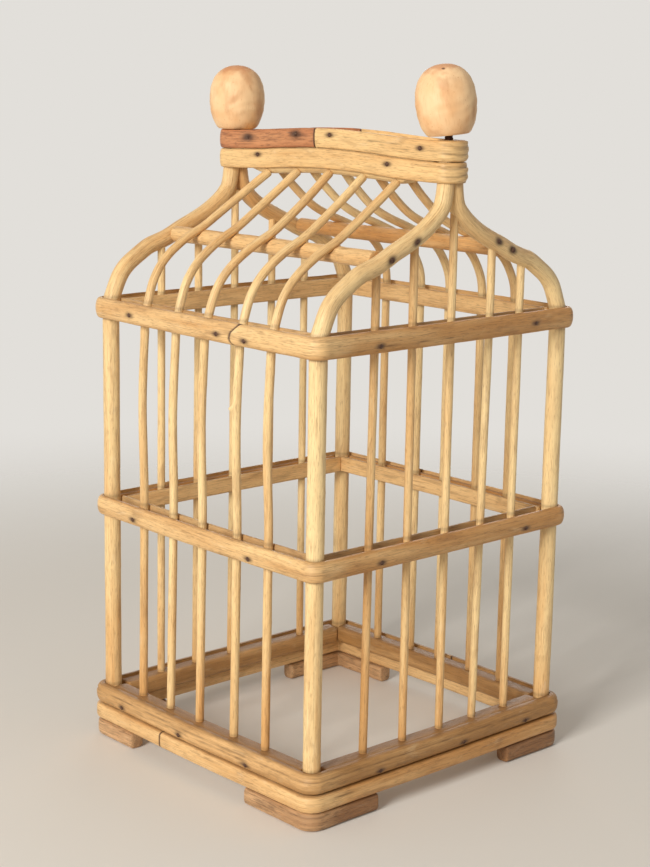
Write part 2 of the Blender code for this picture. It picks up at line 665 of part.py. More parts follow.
def build():
    clear_scene()
    parts = make_collection("bamboo_cage")
    guides = make_collection("cutters")

    straw = make_material("straw_rattan", (0.78, 0.56, 0.30), 0.45)
    honey = make_material("honey_rattan", (0.66, 0.42, 0.19), 0.45)
    brown = make_material("brown_rattan", (0.46, 0.27, 0.12), 0.50)
    peach = make_material("turned_wood", (0.78, 0.52, 0.31), 0.60)
    iron = make_material("dark_iron", (0.06, 0.04, 0.03), 0.45, 0.8)

    # Bars and ribs, each with a slightly fatter copy that drills its sockets.
    drills = {}
    for wall, places, line_of, diameter, kind in (
            (FRONT, FRONT_BAR_SHARES, rib_line, RIB_DIAMETER, "rib"),
            (BACK, BACK_BAR_SHARES, rib_line, RIB_DIAMETER, "rib"),
            (RIGHT, RIGHT_BAR_SHARES, gable_bar_line, GABLE_BAR_DIAMETER, "bar"),
            (LEFT, LEFT_BAR_SHARES, gable_bar_line, GABLE_BAR_DIAMETER, "bar")):
        drills[wall.name] = []
        for number, shares in enumerate(places, 1):
            name = "%s_%s_%d" % (wall.name, kind, number)
            pole(name, line_of(wall, shares), diameter, straw, parts, BAR_RESOLUTION)
            line = line_of(wall, shares, GAP)
            drill = pole(name + "_drill", line, diameter + 2 * GAP, straw, guides, BAR_RESOLUTION)
            drills[wall.name].append(make_guide(as_mesh(drill)))

    # Rails and strips of each wall. Those of the gables butt against those of the long sides.
    for wall in (FRONT, RIGHT, BACK, LEFT):
        gable = wall in (RIGHT, LEFT)
        bar_radius = GABLE_BAR_DIAMETER / 2 if gable else RIB_DIAMETER / 2
        rail_reach = wall.half - (RAIL_REACH_IN if gable else POST_RADIUS) - GAP
        base = strip("base_rail_" + wall.name, wall, -RAIL_REACH_IN, POST_RADIUS, UPPER_HOOP_BOTTOM,
                     UPPER_HOOP_TOP - STRIP_DROP, rail_reach, BLOCK_SIDES, brown, parts, guides)
        base = as_mesh(base)
        for drill in drills[wall.name]:
            cut(base, drill)
        bar_back = -BAR_INSET - bar_radius - GAP
        strip_inside = bar_back - INNER_STRIP_THICKNESS
        long_inside = -BAR_INSET - RIB_DIAMETER / 2 - GAP - INNER_STRIP_THICKNESS
        strip_reach = wall.half + long_inside - GAP if gable else wall.half - POST_RADIUS / 2 - 2 * GAP
        for level, bottom, height in (("mid", MID_HOOP_BOTTOM, MID_HOOP_HEIGHT),
                                      ("top", TOP_HOOP_BOTTOM, TOP_HOOP_HEIGHT)):
            inner = strip("%s_inner_strip_%s" % (level, wall.name), wall, strip_inside, bar_back,
                          bottom + STRIP_DROP, bottom + height - STRIP_DROP, strip_reach,
                          STRIP_SIDES, honey, parts, guides)
            if level == "top" and not gable:
                inner = as_mesh(inner)
                for drill in drills[wall.name]:
                    cut(inner, drill)
        strip("mid_filler_" + wall.name, wall, -BAR_INSET + bar_radius + GAP, POST_RADIUS,
              MID_HOOP_BOTTOM + STRIP_DROP, MID_HOOP_BOTTOM + MID_HOOP_HEIGHT - STRIP_DROP,
              wall.half - POST_RADIUS - GAP, STRIP_SIDES, honey, parts, guides)

    # Hoops round the posts.
    hoop("base_hoop_lower", rounded_block(LOWER_HOOP_THICKNESS, LOWER_HOOP_HEIGHT),
         LOWER_HOOP_REACH - LOWER_HOOP_THICKNESS, LOWER_HOOP_THICKNESS,
         (LOWER_HOOP_BOTTOM, LOWER_HOOP_HEIGHT), (FRONT, LOWER_HOOP_JOINT_SHARE), honey, parts, guides)
    for name, thickness, bottom, height, joint in (
            ("base_hoop_upper", UPPER_HOOP_THICKNESS, UPPER_HOOP_BOTTOM, UPPER_HOOP_HEIGHT,
             (BACK, UPPER_HOOP_JOINT_SHARE)),
            ("mid_hoop", MID_HOOP_THICKNESS, MID_HOOP_BOTTOM, MID_HOOP_HEIGHT,
             (BACK, MID_HOOP_JOINT_SHARE)),
            ("top_hoop", TOP_HOOP_THICKNESS, TOP_HOOP_BOTTOM, TOP_HOOP_HEIGHT,
             (FRONT, TOP_HOOP_JOINT_SHARE))):
        hoop(name, half_round(thickness, height), HOOP_INSIDE, thickness, (bottom, height), joint,
             honey, parts, guides)

    # Feet.
    for corner, x_sense, y_sense, x_share, y_share in FOOT_ARM_SHARES:
        foot("foot_" + corner, x_sense, y_sense, FOOT_ARM * x_share, FOOT_ARM * y_share,
             brown, parts, guides)

    # Ridge: the core takes the ribs, and the bands run round it and the post tops.
    core = ridge_core("ridge_core", straw, parts, guides)
    for wall in (FRONT, BACK):
        for drill in drills[wall.name]:
            cut(core, drill)
    front_joint = (1 + BAND_FRONT_JOINT_SHARE) / 2
    back_joint = 2 + (1 - BAND_BACK_JOINT_SHARE) / 2
    band("ridge_band_lower", RIDGE_BOTTOM, back_joint, back_joint + 4, honey, parts, guides)
    band("ridge_band_upper_right", UPPER_BAND_BOTTOM, front_joint, back_joint, honey, parts, guides)
    band("ridge_band_upper_left", UPPER_BAND_BOTTOM, back_joint, front_joint + 4, brown, parts, guides)

    # Finials on their screws: the left one stands straight, the right one leans, not quite
    # screwed home.
    screw_holes = []
    for side, x_sense, lean in (("left", -1, 0.0), ("right", 1, FINIAL_LEAN)):
        ball = finial("finial_" + side, peach, parts)
        screw = finial_screw("finial_screw_" + side, iron, parts)
        x = x_sense * (HALF_LENGTH - FINIAL_INSETS[side])
        raised = FINIAL_RAISES[side]
        axis = place_finial("finial_axis_" + side, x, lean, raised, ball, screw, parts)
        bpy.context.view_layer.update()
        top = axis.matrix_world @ Vector((0, 0, OVERRUN))
        bottom = axis.matrix_world @ Vector((0, 0, -SCREW_BITE - GAP))
        screw_holes.append(cylinder_between("screw_hole_" + side, bottom, top, SCREW_HOLE_DIAMETER, guides))

    # Posts: planed where they meet, drilled for the gable bars, the screws and the nails.
    for y_name, y_sense in (("front", -1), ("back", 1)):
        plane = box("planed_" + y_name, (0.0, -y_sense * (HALF_WIDTH - GAP) / 2, RIDGE_BOTTOM),
                    (2 * HALF_LENGTH + 2 * POST_DIAMETER, HALF_WIDTH, HALF_WIDTH), guides)
        nail_hole = purlin_nail("nail_hole_" + y_name, 1, y_sense, iron, guides, GAP)
        make_guide(nail_hole)
        for x_name, x_sense, wall in (("left", -1, LEFT), ("right", 1, RIGHT)):
            post = corner_post("post_%s_%s" % (y_name, x_name), x_sense, y_sense, straw, parts)
            cut(post, plane)
            cut(post, screw_holes[0 if x_sense < 0 else 1])
            reach = arch_offset(RIDGE_BOTTOM) + POST_RADIUS
            for drill, shares in zip(drills[wall.name], LEFT_BAR_SHARES if x_sense < 0 else RIGHT_BAR_SHARES):
                if shares[1] * y_sense > 0 or abs(shares[1] * wall.half) < reach:
                    cut(post, drill)
            if x_sense > 0:
                cut(post, nail_hole)
        purlin = roof_purlin("purlin_" + y_name, y_sense, honey, parts)
        for drill in drills[y_name]:
            cut(purlin, drill)
        cut(purlin, nail_hole)
        purlin_nail("purlin_nail_" + y_name, 1, y_sense, iron, parts)


if __name__ == "__main__":
    build()
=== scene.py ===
# %% [markdown]
# # A rattan bird cage, dressed for the camera
# The cage is bent and nailed from rattan: thick poles for the corner posts, thin ones for the
# bars, and split cane for the hoops. The packed model gives every piece its place. Its plain
# solids could be given a wood finish as they are, but would look machined. So this lesson
# puts a smooth, grained, slightly uneven surface over each piece and lights the whole.

# %% Load the fixed frame
import math

import bpy
import numpy as np
from mathutils import Matrix, Vector


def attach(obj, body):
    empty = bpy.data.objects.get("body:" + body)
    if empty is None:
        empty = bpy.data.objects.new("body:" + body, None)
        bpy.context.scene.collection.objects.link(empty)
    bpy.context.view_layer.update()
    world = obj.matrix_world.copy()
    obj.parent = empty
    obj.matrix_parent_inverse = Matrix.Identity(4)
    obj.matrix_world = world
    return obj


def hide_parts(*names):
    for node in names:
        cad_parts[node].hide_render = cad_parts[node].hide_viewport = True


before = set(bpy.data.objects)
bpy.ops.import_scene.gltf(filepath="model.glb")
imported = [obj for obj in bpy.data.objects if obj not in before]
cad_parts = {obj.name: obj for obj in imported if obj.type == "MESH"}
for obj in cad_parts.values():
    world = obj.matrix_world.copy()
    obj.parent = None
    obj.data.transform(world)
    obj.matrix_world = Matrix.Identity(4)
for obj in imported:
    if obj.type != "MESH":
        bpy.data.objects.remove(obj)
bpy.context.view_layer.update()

# %% [markdown]
# ## The cage's measures
# The lines that follow are drawn from a few measures, the same ones that the solids were cut
# from. They could be read off the solids' corners, but a named measure says what it is for.
# Lengths are in metres, and the cage stands on the table at level zero.

# %% Measures
MM = 0.001
HALF_LENGTH, HALF_WIDTH = 83.0 * MM, 86.0 * MM
GAP = 0.3 * MM
POST, RIB, BAR = 9.0 * MM, 4.6 * MM, 4.3 * MM
UPPER_HOOP_BOTTOM, UPPER_HOOP_HEIGHT, UPPER_HOOP_THICKNESS = 19.1 * MM, 10.8 * MM, 4.9 * MM
UPPER_HOOP_TOP = UPPER_HOOP_BOTTOM + UPPER_HOOP_HEIGHT
MID_HOOP_BOTTOM, MID_HOOP_HEIGHT = 127.3 * MM, 10.5 * MM
TOP_HOOP_BOTTOM, TOP_HOOP_HEIGHT = 235.8 * MM, 11.2 * MM
TOP_HOOP_TOP = TOP_HOOP_BOTTOM + TOP_HOOP_HEIGHT
HOOP_THICKNESS = 3.5 * MM
HOOP_INSIDE = POST / 2 + GAP
RIDGE_BOTTOM, RIDGE_BAND_HEIGHT = 315.1 * MM, 10.3 * MM
UPPER_BAND_BOTTOM = RIDGE_BOTTOM + RIDGE_BAND_HEIGHT + GAP
RIDGE_TOP = UPPER_BAND_BOTTOM + RIDGE_BAND_HEIGHT
print("from the table to the ridge's top:", round(RIDGE_TOP / MM, 1), "mm")

# %% [markdown]
# ## The camera
# The view is a close portrait of one corner, from a little above, through a long lens. A
# camera could be aimed at an empty, but that leaves no say over its roll. So its place and
# its three turns are given as numbers, and its axes are worked out from them.

# %% Camera
VIEW_TURNS = (47.45, 11.95, 1.0)
VIEW_PLACE = (0.7056, -0.6524, 0.3781)
SENSOR, FOCAL_PIXELS, PICTURE_PIXELS = 36.0, 1810, 650


def look(azimuth, elevation, roll, place, lens):
    """A camera at a place: azimuth 0 looks along +Y, elevation looks down, roll tips it."""
    turn, rise, tip = (math.radians(value) for value in (azimuth, elevation, roll))
    flat = math.cos(rise)
    back = Vector((math.sin(turn) * flat, -math.cos(turn) * flat, math.sin(rise)))
    right = (-back).cross(Vector((0, 0, 1))).normalized()
    up = right.cross(-back)
    right_rolled = right * math.cos(tip) + up * math.sin(tip)
    up_rolled = up * math.cos(tip) - right * math.sin(tip)
    data = bpy.data.cameras.new("view")
    data.lens = lens
    data.sensor_width = SENSOR
    data.sensor_fit = "HORIZONTAL"
    data.clip_start = 0.01
    camera = bpy.data.objects.new("view", data)
    axes = Matrix((right_rolled, up_rolled, back)).transposed().to_4x4()
    camera.matrix_world = Matrix.Translation(place) @ axes
    bpy.context.scene.collection.objects.link(camera)
    return camera


camera = look(*VIEW_TURNS, VIEW_PLACE, FOCAL_PIXELS / PICTURE_PIXELS * SENSOR)
bpy.context.scene.camera = camera
print("lens:", round(camera.data.lens, 1))

# %% [markdown]
# ## The walls
# A wall is the line between two corner posts. The hoops are nailed to posts at their ends
# only, so each wall bows out a little in the middle: the bow is a squared cosine, flat where
# it meets the posts. The four sides could be written out one by one; a class for a wall lets
# the same words place a bar, a nail or a strip on any of them.

# %% What a wall is
class Wall:
    """One side of the cage: places run along it, distances out of it, levels up it."""

    def __init__(self, along, outward, half, distance, bow, sway=0.0, roof=None):
        self.along = np.array(along, float)
        self.outward = np.array(outward, float)
        self.half, self.distance, self.bow = half, distance, bow
        self.sway, self.roof = sway, roof

    def bulge(self, place):
        """The bow times the squared cosine of a quarter turn's share."""
        return self.bow * np.cos(np.pi / 2 * place / self.half) ** 2

    def point(self, place, out, level):
        """Points at places along the wall, distances outside its line, and levels."""
        given = (np.asarray(value, float) for value in (place, out, level))
        place, out, level = np.broadcast_arrays(*given)
        across = self.distance + self.bulge(place) + out
        plan = place[..., None] * self.along + across[..., None] * self.outward
        plan[..., 2] = level
        return plan


print("a wall knows:", [name for name in vars(Wall) if not name.startswith("_")])

# %% The four walls, and the outlines of the two roof slopes
FRONT_ROOF = ((0.025, 0.0), (0.082, 0.19), (0.184, 0.345), (0.348, 0.485), (0.50, 0.577),
              (0.665, 0.71), (0.842, 0.86), (1.0, 1.0))
BACK_ROOF = ((-0.005, 0.0), (0.019, 0.16), (0.108, 0.335), (0.234, 0.452), (0.399, 0.540),
             (0.57, 0.617), (0.728, 0.712), (0.892, 0.872), (1.0, 1.0))
FRONT = Wall((1, 0, 0), (0, -1, 0), HALF_LENGTH, HALF_WIDTH, 1.2 * MM, 2.0 * MM, FRONT_ROOF)
RIGHT = Wall((0, 1, 0), (1, 0, 0), HALF_WIDTH, HALF_LENGTH, 0.6 * MM)
BACK = Wall((1, 0, 0), (0, 1, 0), HALF_LENGTH, HALF_WIDTH, 1.2 * MM, 0.0, BACK_ROOF)
LEFT = Wall((0, 1, 0), (-1, 0, 0), HALF_WIDTH, HALF_LENGTH, 0.6 * MM)
WALLS = {"front": FRONT, "right": RIGHT, "back": BACK, "left": LEFT}
print("bow in the middle:", [round(float(wall.bulge(0)) / MM, 1) for wall in WALLS.values()], "mm")

# %% The ridge's rise
RIDGE_LIFT, RIDGE_FALL = 3.2 * MM, 1.5 * MM


def ridge_lift(place):
    """Height of the ridge over its right end: a squared cosine, less a steady fall to the left."""
    share = place / HALF_LENGTH
    return RIDGE_LIFT * np.cos(np.pi / 2 * share) ** 2 - RIDGE_FALL * (1 - share) / 2


print("ridge rises by", round(float(ridge_lift(0.0)) / MM, 1), "mm in the middle")

# %% [markdown]
# ## Lines to carry a section along
# A bent pole is a circle carried along a curve. Blender's own curve with a round bevel could
# do that, but its UV map runs from 0 to 1, whatever the length. Here the curve passes through
# a few marked points and is then walked in even steps, so no bend stretches the grain.

# %% Curves through points
def smooth_line(points, steps=160):
    """Each span is a cubic whose slope at a point is half the way between its neighbours."""
    points = np.asarray(points, float)
    ends = np.vstack([2 * points[0] - points[1], points, 2 * points[-1] - points[-2]])
    position = np.linspace(0, len(points) - 1 - 1e-9, steps + 1)
    span = position.astype(int)
    t = (position - span)[:, None]
    before, start, end, after = (ends[span + k] for k in range(4))
    return (2 * start + (end - before) * t + (2 * before - 5 * start + 4 * end - after) * t ** 2
            + (3 * start - before - 3 * end + after) * t ** 3) / 2


def walked(line):
    """Distance walked along a line up to each of its points."""
    return np.concatenate([[0.0], np.cumsum(np.linalg.norm(np.diff(line, axis=0), axis=1))])


def at(line, distances):
    """Points of a line at given walked distances, straight between its own points."""
    reached = walked(line)
    return np.stack([np.interp(distances, reached, line[:, k]) for k in range(3)], axis=1)


def soften(line, reach=4 * MM, step=0.5 * MM):
    """The line in even steps, each point the mean of those within reach; the ends stay."""
    even = at(line, np.linspace(0, walked(line)[-1], int(walked(line)[-1] / step)))
    side = max(1, int(reach / step / 2))
    head = 2 * even[0] - even[side:0:-1]
    tail = 2 * even[-1] - even[-2:-side - 2:-1]
    long = np.vstack([head, even, tail])
    kernel = np.ones(2 * side + 1) / (2 * side + 1)
    return np.stack([np.convolve(long[:, k], kernel, "valid") for k in range(3)], axis=1)


bend = smooth_line([(0, 0, 0), (1, 0, 1), (2, 0, 0)])
print("a bend over three points is", round(float(walked(bend)[-1]), 2), "long")

# %% Lines of the posts: shares of the way in and of the way up
POST_TOP_OFFSET = 2.9 * MM
ARCH = ((0.0, -0.03), (0.02, 0.03), (0.07, 0.165), (0.13, 0.25), (0.20, 0.31), (0.30, 0.385),
        (0.37, 0.413), (0.457, 0.45), (0.577, 0.522), (0.673, 0.572), (0.794, 0.645),
        (0.89, 0.725), (0.938, 0.779), (0.975, 0.84), (0.996, 0.957), (1.0, 1.10))


def arch_line(x_sense, y_sense):
    """Axis of the bent part of a post: the outline's shares of its width and of its height."""
    inward, upward = np.array(ARCH).T
    x = np.full(len(inward), x_sense * HALF_LENGTH)
    y = y_sense * (HALF_WIDTH + (POST_TOP_OFFSET - HALF_WIDTH) * inward)
    z = TOP_HOOP_TOP + (RIDGE_BOTTOM + ridge_lift(x[0]) - TOP_HOOP_TOP) * upward
    top = [x[0], y_sense * POST_TOP_OFFSET, RIDGE_TOP + ridge_lift(x[0])]
    return np.vstack([smooth_line(np.stack([x, y, z], axis=1)), top])


def arch_offset(level, x_sense=1):
    """Distance of a post's axis from the ridge plane at a level."""
    line = arch_line(x_sense, 1)
    return float(np.interp(level, line[:, 2], line[:, 1]))


def arch_level(offset, x_sense=1):
    """Level of a post's axis at a distance from the ridge plane."""
    line = arch_line(x_sense, 1)
    return float(np.interp(-offset, -line[:, 1], line[:, 2]))


print("arch length:", round(float(walked(arch_line(1, 1))[-1]) / MM), "mm")

# %% Places of the bars, as shares of the half wall
FRONT_BARS = ((-0.685, -0.650, -0.574, -0.045), (-0.380, -0.318, -0.289, -0.025),
              (-0.073, -0.030, 0.014, 0.035), (0.266, 0.300, 0.322, 0.015),
              (0.560, 0.580, 0.620, 0.0))
BACK_BARS = ((-0.566, -0.566, -0.600, 0.0), (-0.235, -0.232, -0.290, 0.0),
             (0.040, 0.035, 0.005, 0.0), (0.345, 0.340, 0.315, 0.0), (0.635, 0.636, 0.610, 0.0))
RIGHT_BARS = ((-0.580, -0.558), (-0.257, -0.263), (0.058, 0.056), (0.352, 0.390), (0.649, 0.657))
LEFT_BARS = ((-0.625, -0.617), (-0.330, -0.315), (-0.025, -0.010), (0.300, 0.310), (0.605, 0.600))
print("bars:", len(FRONT_BARS) + len(BACK_BARS) + len(RIGHT_BARS) + len(LEFT_BARS))

# %% Lines of the ribs and bars
BAR_INSET, BAR_FOOT = 1.5 * MM, UPPER_HOOP_TOP - 7.5 * MM
RIB_TOP_OFFSET, RIB_TOP_DROP = 5.5 * MM, 2.0 * MM


def bar_place(wall, shares, level):
    """A straight lean from the base to the top hoop, with a slight bend in its upper half."""
    rise = np.clip((level - UPPER_HOOP_TOP) / (TOP_HOOP_TOP - UPPER_HOOP_TOP), 0, 1)
    middle = MID_HOOP_BOTTOM + MID_HOOP_HEIGHT
    share = np.clip((level - middle) / (TOP_HOOP_TOP - middle), 0, 1)
    lean = wall.half * (shares[0] + (shares[1] - shares[0]) * rise)
    return lean - wall.sway * np.sin(np.pi * share) ** 2


def rib_line(wall, shares):
    """Axis of a long-side bar: up its wall, then along the roof outline to the ridge."""
    level = np.linspace(BAR_FOOT, TOP_HOOP_BOTTOM, 60)
    upright = wall.point(bar_place(wall, shares, level), -BAR_INSET, level)
    inward, upward = np.array(wall.roof).T
    top, ridge, bow = (wall.half * share for share in shares[1:])
    place = top + (ridge - top) * inward + 4 * bow * inward * (1 - inward)
    start = wall.distance - BAR_INSET
    out = start + (RIB_TOP_OFFSET - start) * inward + wall.bulge(place) * (1 - inward) ** 2
    rise = RIDGE_BOTTOM - RIB_TOP_DROP + ridge_lift(ridge) - TOP_HOOP_TOP
    roof = place[:, None] * wall.along + out[:, None] * wall.outward
    roof[:, 2] = TOP_HOOP_TOP + rise * upward
    return soften(np.vstack([upright[:-1], smooth_line(np.vstack([upright[-1:], roof]))]))


def gable_bar_line(wall, shares):
    """Axis of a gable bar: up from its rail to just inside the arch over it."""
    x_sense = wall.outward[0]
    crotch = arch_offset(RIDGE_BOTTOM - RIDGE_FALL, x_sense) + BAR / 2
    seat = max(abs(wall.half * shares[1]), crotch)
    level = np.linspace(BAR_FOOT, arch_level(seat, x_sense) - POST / 2 + 3 * MM, 80)
    return soften(wall.point(bar_place(wall, shares, level), -BAR_INSET, level))


print("rib length:", round(float(walked(rib_line(FRONT, FRONT_BARS[2]))[-1]) / MM), "mm")

# %% [markdown]
# ## From a line to a skin
# A piece's skin is a grid: each row is its section, set square to the line by two directions,
# one across and one up. A cylinder with a Curve modifier could be bent instead, but whole
# arrays are quick, and the skin can keep the grain beside each point: the straight distance
# along the piece and the two distances inside its section, as if it had never been bent.

# %% Mesh from a grid of rows
def put_mesh(name, points, quads, triangles):
    """A smooth mesh from arrays of points and of the corners of its faces."""
    corners = np.concatenate([quads.ravel(), triangles.ravel()]).astype(np.int32)
    sizes = np.concatenate([np.full(len(quads), 4), np.full(len(triangles), 3)])
    starts = np.concatenate([[0], np.cumsum(sizes)[:-1]]).astype(np.int32)
    mesh = bpy.data.meshes.new(name)
    mesh.vertices.add(len(points))
    mesh.vertices.foreach_set("co", points.astype(np.float32).ravel())
    mesh.loops.add(len(corners))
    mesh.loops.foreach_set("vertex_index", corners)
    mesh.polygons.add(len(sizes))
    mesh.polygons.foreach_set("loop_start", starts)
    mesh.polygons.foreach_set("use_smooth", np.ones(len(sizes), bool))
    mesh.update(calc_edges=True)
    mesh.validate()
    return mesh


def grid_quads(count, around):
    """Corners of the quads between rows of points that each close round."""
    row = np.arange(count - 1)[:, None] * around
    here = row + np.arange(around)
    there = row + (np.arange(around) + 1) % around
    return np.stack([here, here + around, there + around, there], axis=-1).reshape(-1, 4)


def skin(rows):
    """Points and faces of a closed tube: a grid of quads, and a fan of triangles at each end."""
    count, around = rows.shape[:2]
    points = np.vstack([rows.reshape(-1, 3), rows[0].mean(0), rows[-1].mean(0)])
    here, there = np.arange(around), (np.arange(around) + 1) % around
    first, last = np.full(around, count * around), np.full(around, count * around + 1)
    end = (count - 1) * around
    fans = np.vstack([np.stack([first, here, there], 1), np.stack([last, end + there, end + here], 1)])
    return points, grid_quads(count, around), fans


print("quads in three rows of eight:", len(grid_quads(3, 8)))

# %% Round rows
def circle(around):
    """Angles of the points round one row."""
    return np.linspace(0, 2 * np.pi, around, endpoint=False)[None, :]


def spun(radius, height, angle):
    """Rows of points at a radius and a height, turned about the upright axis."""
    rows = np.broadcast_arrays(radius * np.cos(angle), radius * np.sin(angle), height)
    return np.stack(rows, axis=-1)


def per_point(values, at_ends=0.5):
    """Values of a grid in one row, and one more for each end centre of its skin."""
    return np.concatenate([values.ravel(), [at_ends, at_ends]])


print("a spun ring of eight:", spun(1.0, 0.0, circle(8)).shape)

# %% Put a piece in the scene
made = {}


def finish_piece(name, mesh, grain, tone, stain, material, nodes, body="cage"):
    """Give a mesh its grain, tone and stain, and put it in the scene over the nodes it dresses."""
    mesh.attributes.new("grain", "FLOAT_VECTOR", "POINT").data.foreach_set(
        "vector", grain.astype(np.float32).ravel())
    for kind, values in (("tone", tone), ("stain", stain)):
        filled = np.broadcast_to(np.asarray(values, np.float32), (len(grain),)).copy()
        mesh.attributes.new(kind, "FLOAT", "POINT").data.foreach_set("value", filled)
    mesh.materials.append(material)
    piece = bpy.data.objects.new(name, mesh)
    bpy.context.scene.collection.objects.link(piece)
    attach(piece, body)
    if nodes:
        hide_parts(*nodes)
    made[name] = piece


def dress(node, shell, grain, tone, stain, material, body="cage"):
    """Put a skin over one node; the skin takes the node's name."""
    finish_piece(node + "_skin", put_mesh(node, *shell), grain, tone, stain, material, [node], body)


print("pieces made so far:", len(made))

# %% [markdown]
# ## Hand-made unevenness
# No rattan pole is a true cylinder. It thickens and thins, is a little oval, and has a faint
# ring where each leaf grew. Noise in a Displace modifier could do it, but it would ignore the
# grain. A few cosines with seeded phases follow it, and come out the same on each run.

# %% Waves
def waves(seed, s, angle, longest, count=5):
    """A sum of cosines that run along and round a piece, about -1 to 1."""
    dice = np.random.default_rng(seed)
    total = 0.0
    for turn in range(count):
        length = longest * 0.62 ** turn * dice.uniform(0.8, 1.25)
        phase = dice.uniform(0, 2 * np.pi)
        total = total + 0.7 ** turn * np.cos(2 * np.pi * s / length + (turn % 3) * angle + phase)
    return total / 2.2


def growth_rings(seed, s, apart=118 * MM, width=1.3 * MM):
    """Narrow swellings at uneven steps along a pole: bell curves round the ring places."""
    dice = np.random.default_rng(seed + 900)
    places = np.arange(-1, 6) * apart + dice.uniform(0, apart) + dice.uniform(-0.2, 0.2, 7) * apart
    return sum(np.exp(-((s - place) / width) ** 2) for place in places)


print("waves over 100 mm:", np.round(waves(1, np.linspace(0, 0.1, 5), 0.0, 90 * MM), 2).tolist())

# %% Sections: a pole, split cane and a rail
def round_section(diameter, seed, unevenness=0.03, rings=0.035):
    """A circle whose radius wanders along the pole and swells at the growth rings."""
    def section(s, angle):
        radius = diameter / 2 * (1 + unevenness * waves(seed, s, angle, 90 * MM) - unevenness / 2
                                 + rings * growth_rings(seed, s))
        return radius * np.cos(angle), radius * np.sin(angle)
    return section


def cane_section(thickness, height, seed, unevenness=0.05):
    """Split cane: flat inside and crowned outside, the crown a cosine raised to 0.6."""
    def section(s, angle):
        angle = angle + 0.3 * np.sin(2 * angle)
        crown = np.maximum(np.cos(angle), 0) ** 0.6
        worn = 1 - unevenness * (0.5 + 0.5 * waves(seed, s, angle, 60 * MM)) * crown
        edge = 1 - 0.03 * (0.5 + 0.5 * waves(seed + 5, s, 0 * angle + np.sign(np.sin(angle)), 45 * MM))
        return thickness * (crown * worn - 0.5), height / 2 * np.sin(angle) * edge
    return section


def block_section(width, height, seed, unevenness=0.03):
    """A rail: cosine and sine each raised to one half make a rectangle with round corners."""
    def section(s, angle):
        c, r = np.cos(angle), np.sin(angle)
        worn = 1 - unevenness * (0.5 + 0.5 * waves(seed, s, angle, 50 * MM))
        across = width / 2 * np.sign(c) * np.abs(c) ** 0.5
        return across * worn, height / 2 * np.sign(r) * np.abs(r) ** 0.5 * worn
    return section


print("a post is", round(float(np.ptp(round_section(POST, 1)(0.0, circle(44))[0])) / MM, 2), "mm wide")

# %% Carry a section along a line
seeds = iter(range(1, 1000))
GRAIN_SHIFT = 1.37


def carried(line, section, reference, rounding=0.5 * MM, step=1.2 * MM, around=28):
    """Rows of points, and their grain: the section stands across and up from the line.

    Across is the line's direction turned square to the reference; up is square to both. Near
    an end the section draws in by a quarter circle of the rounding.
    """
    total = walked(line)[-1]
    quarter = rounding * (1 - np.cos(np.linspace(0, np.pi / 2, 5)))
    body = np.linspace(rounding, total - rounding, max(3, int(total / step)))
    s = np.concatenate([quarter[:-1], body, total - quarter[-2::-1]])
    places = at(line, s)
    ahead = at(line, np.minimum(s + step / 2, total)) - at(line, np.maximum(s - step / 2, 0))
    ahead /= np.linalg.norm(ahead, axis=1, keepdims=True)
    across = np.cross(ahead, np.asarray(reference, float))
    across /= np.linalg.norm(across, axis=1, keepdims=True)
    up = np.cross(across, ahead)
    a, b = section(s[:, None], circle(around))
    near = np.clip(np.minimum(s, total - s) / rounding, 0, 1)
    drawn = rounding * (1 - np.sqrt(1 - (1 - near) ** 2))[:, None]
    size = np.sqrt(a ** 2 + b ** 2).max()
    a, b = a * (1 - drawn / size * 2), b * (1 - drawn / size * 2)
    rows = places[:, None] + across[:, None] * a[..., None] + up[:, None] * b[..., None]
    grain = np.stack([np.broadcast_to(s[:, None], a.shape), a, b], axis=-1)
    return rows, grain


def grain_points(grain, seed):
    """Grain of a skin's points and its two end centres, moved along to a place of its own."""
    flat = grain.reshape(-1, 3)
    ends = np.array([grain[0].mean(0), grain[-1].mean(0)])
    return np.vstack([flat, ends]) + (seed * GRAIN_SHIFT, 0, 0)


pole = carried(np.array([(0, 0, 0), (0, 0, 0.1)]), round_section(POST, 1), (1, 0, 0))[0]
print("rows and points of a pole of 100 mm:", pole.shape[:2])

# %% [markdown]
# ## Shader sums
# A finish is a small sum: some noise, stretched along the grain, decides how much of one
# colour lies over another. The nodes could be added one by one, at three lines for each
# sum. A wrapped socket lets the sum be written as one, and reads like what it does.

# %% Numbers of a material
class Amount:
    """One number of a material at each point; sums on it add Math nodes."""

    def __init__(self, recipe, socket):
        self.recipe, self.socket = recipe, socket

    def _sum(self, operation, first, second):
        node = self.recipe.add("ShaderNodeMath", {0: first, 1: second}, operation=operation)
        return Amount(self.recipe, node.outputs[0])

    def __add__(self, other):
        return self._sum("ADD", self, other)

    def __sub__(self, other):
        return self._sum("SUBTRACT", self, other)

    def __rsub__(self, other):
        return self._sum("SUBTRACT", other, self)

    def __mul__(self, other):
        return self._sum("MULTIPLY", self, other)

    __radd__ = __add__


print("sums:", [name.strip("_") for name in vars(Amount) if name.endswith(("add__", "sub__", "mul__"))])

# %% A tree of nodes
class Graph:
    """A tree of shader nodes."""

    def __init__(self, tree):
        self.nodes, self.links = tree.nodes, tree.links

    def join(self, value, socket):
        """Link a socket, or set a plain value."""
        value = value.socket if isinstance(value, Amount) else value
        if isinstance(value, bpy.types.NodeSocket):
            self.links.new(value, socket)
        else:
            socket.default_value = value

    def add(self, kind, sockets=(), **settings):
        """A node of a kind: its settings first, then a value or a link for each socket."""
        node = self.nodes.new(kind)
        for key, value in settings.items():
            setattr(node, key, value)
        for key, value in dict(sockets).items():
            self.join(value, node.inputs[key])
        return node


print("a graph can:", [name for name in vars(Graph) if not name.startswith("_")])

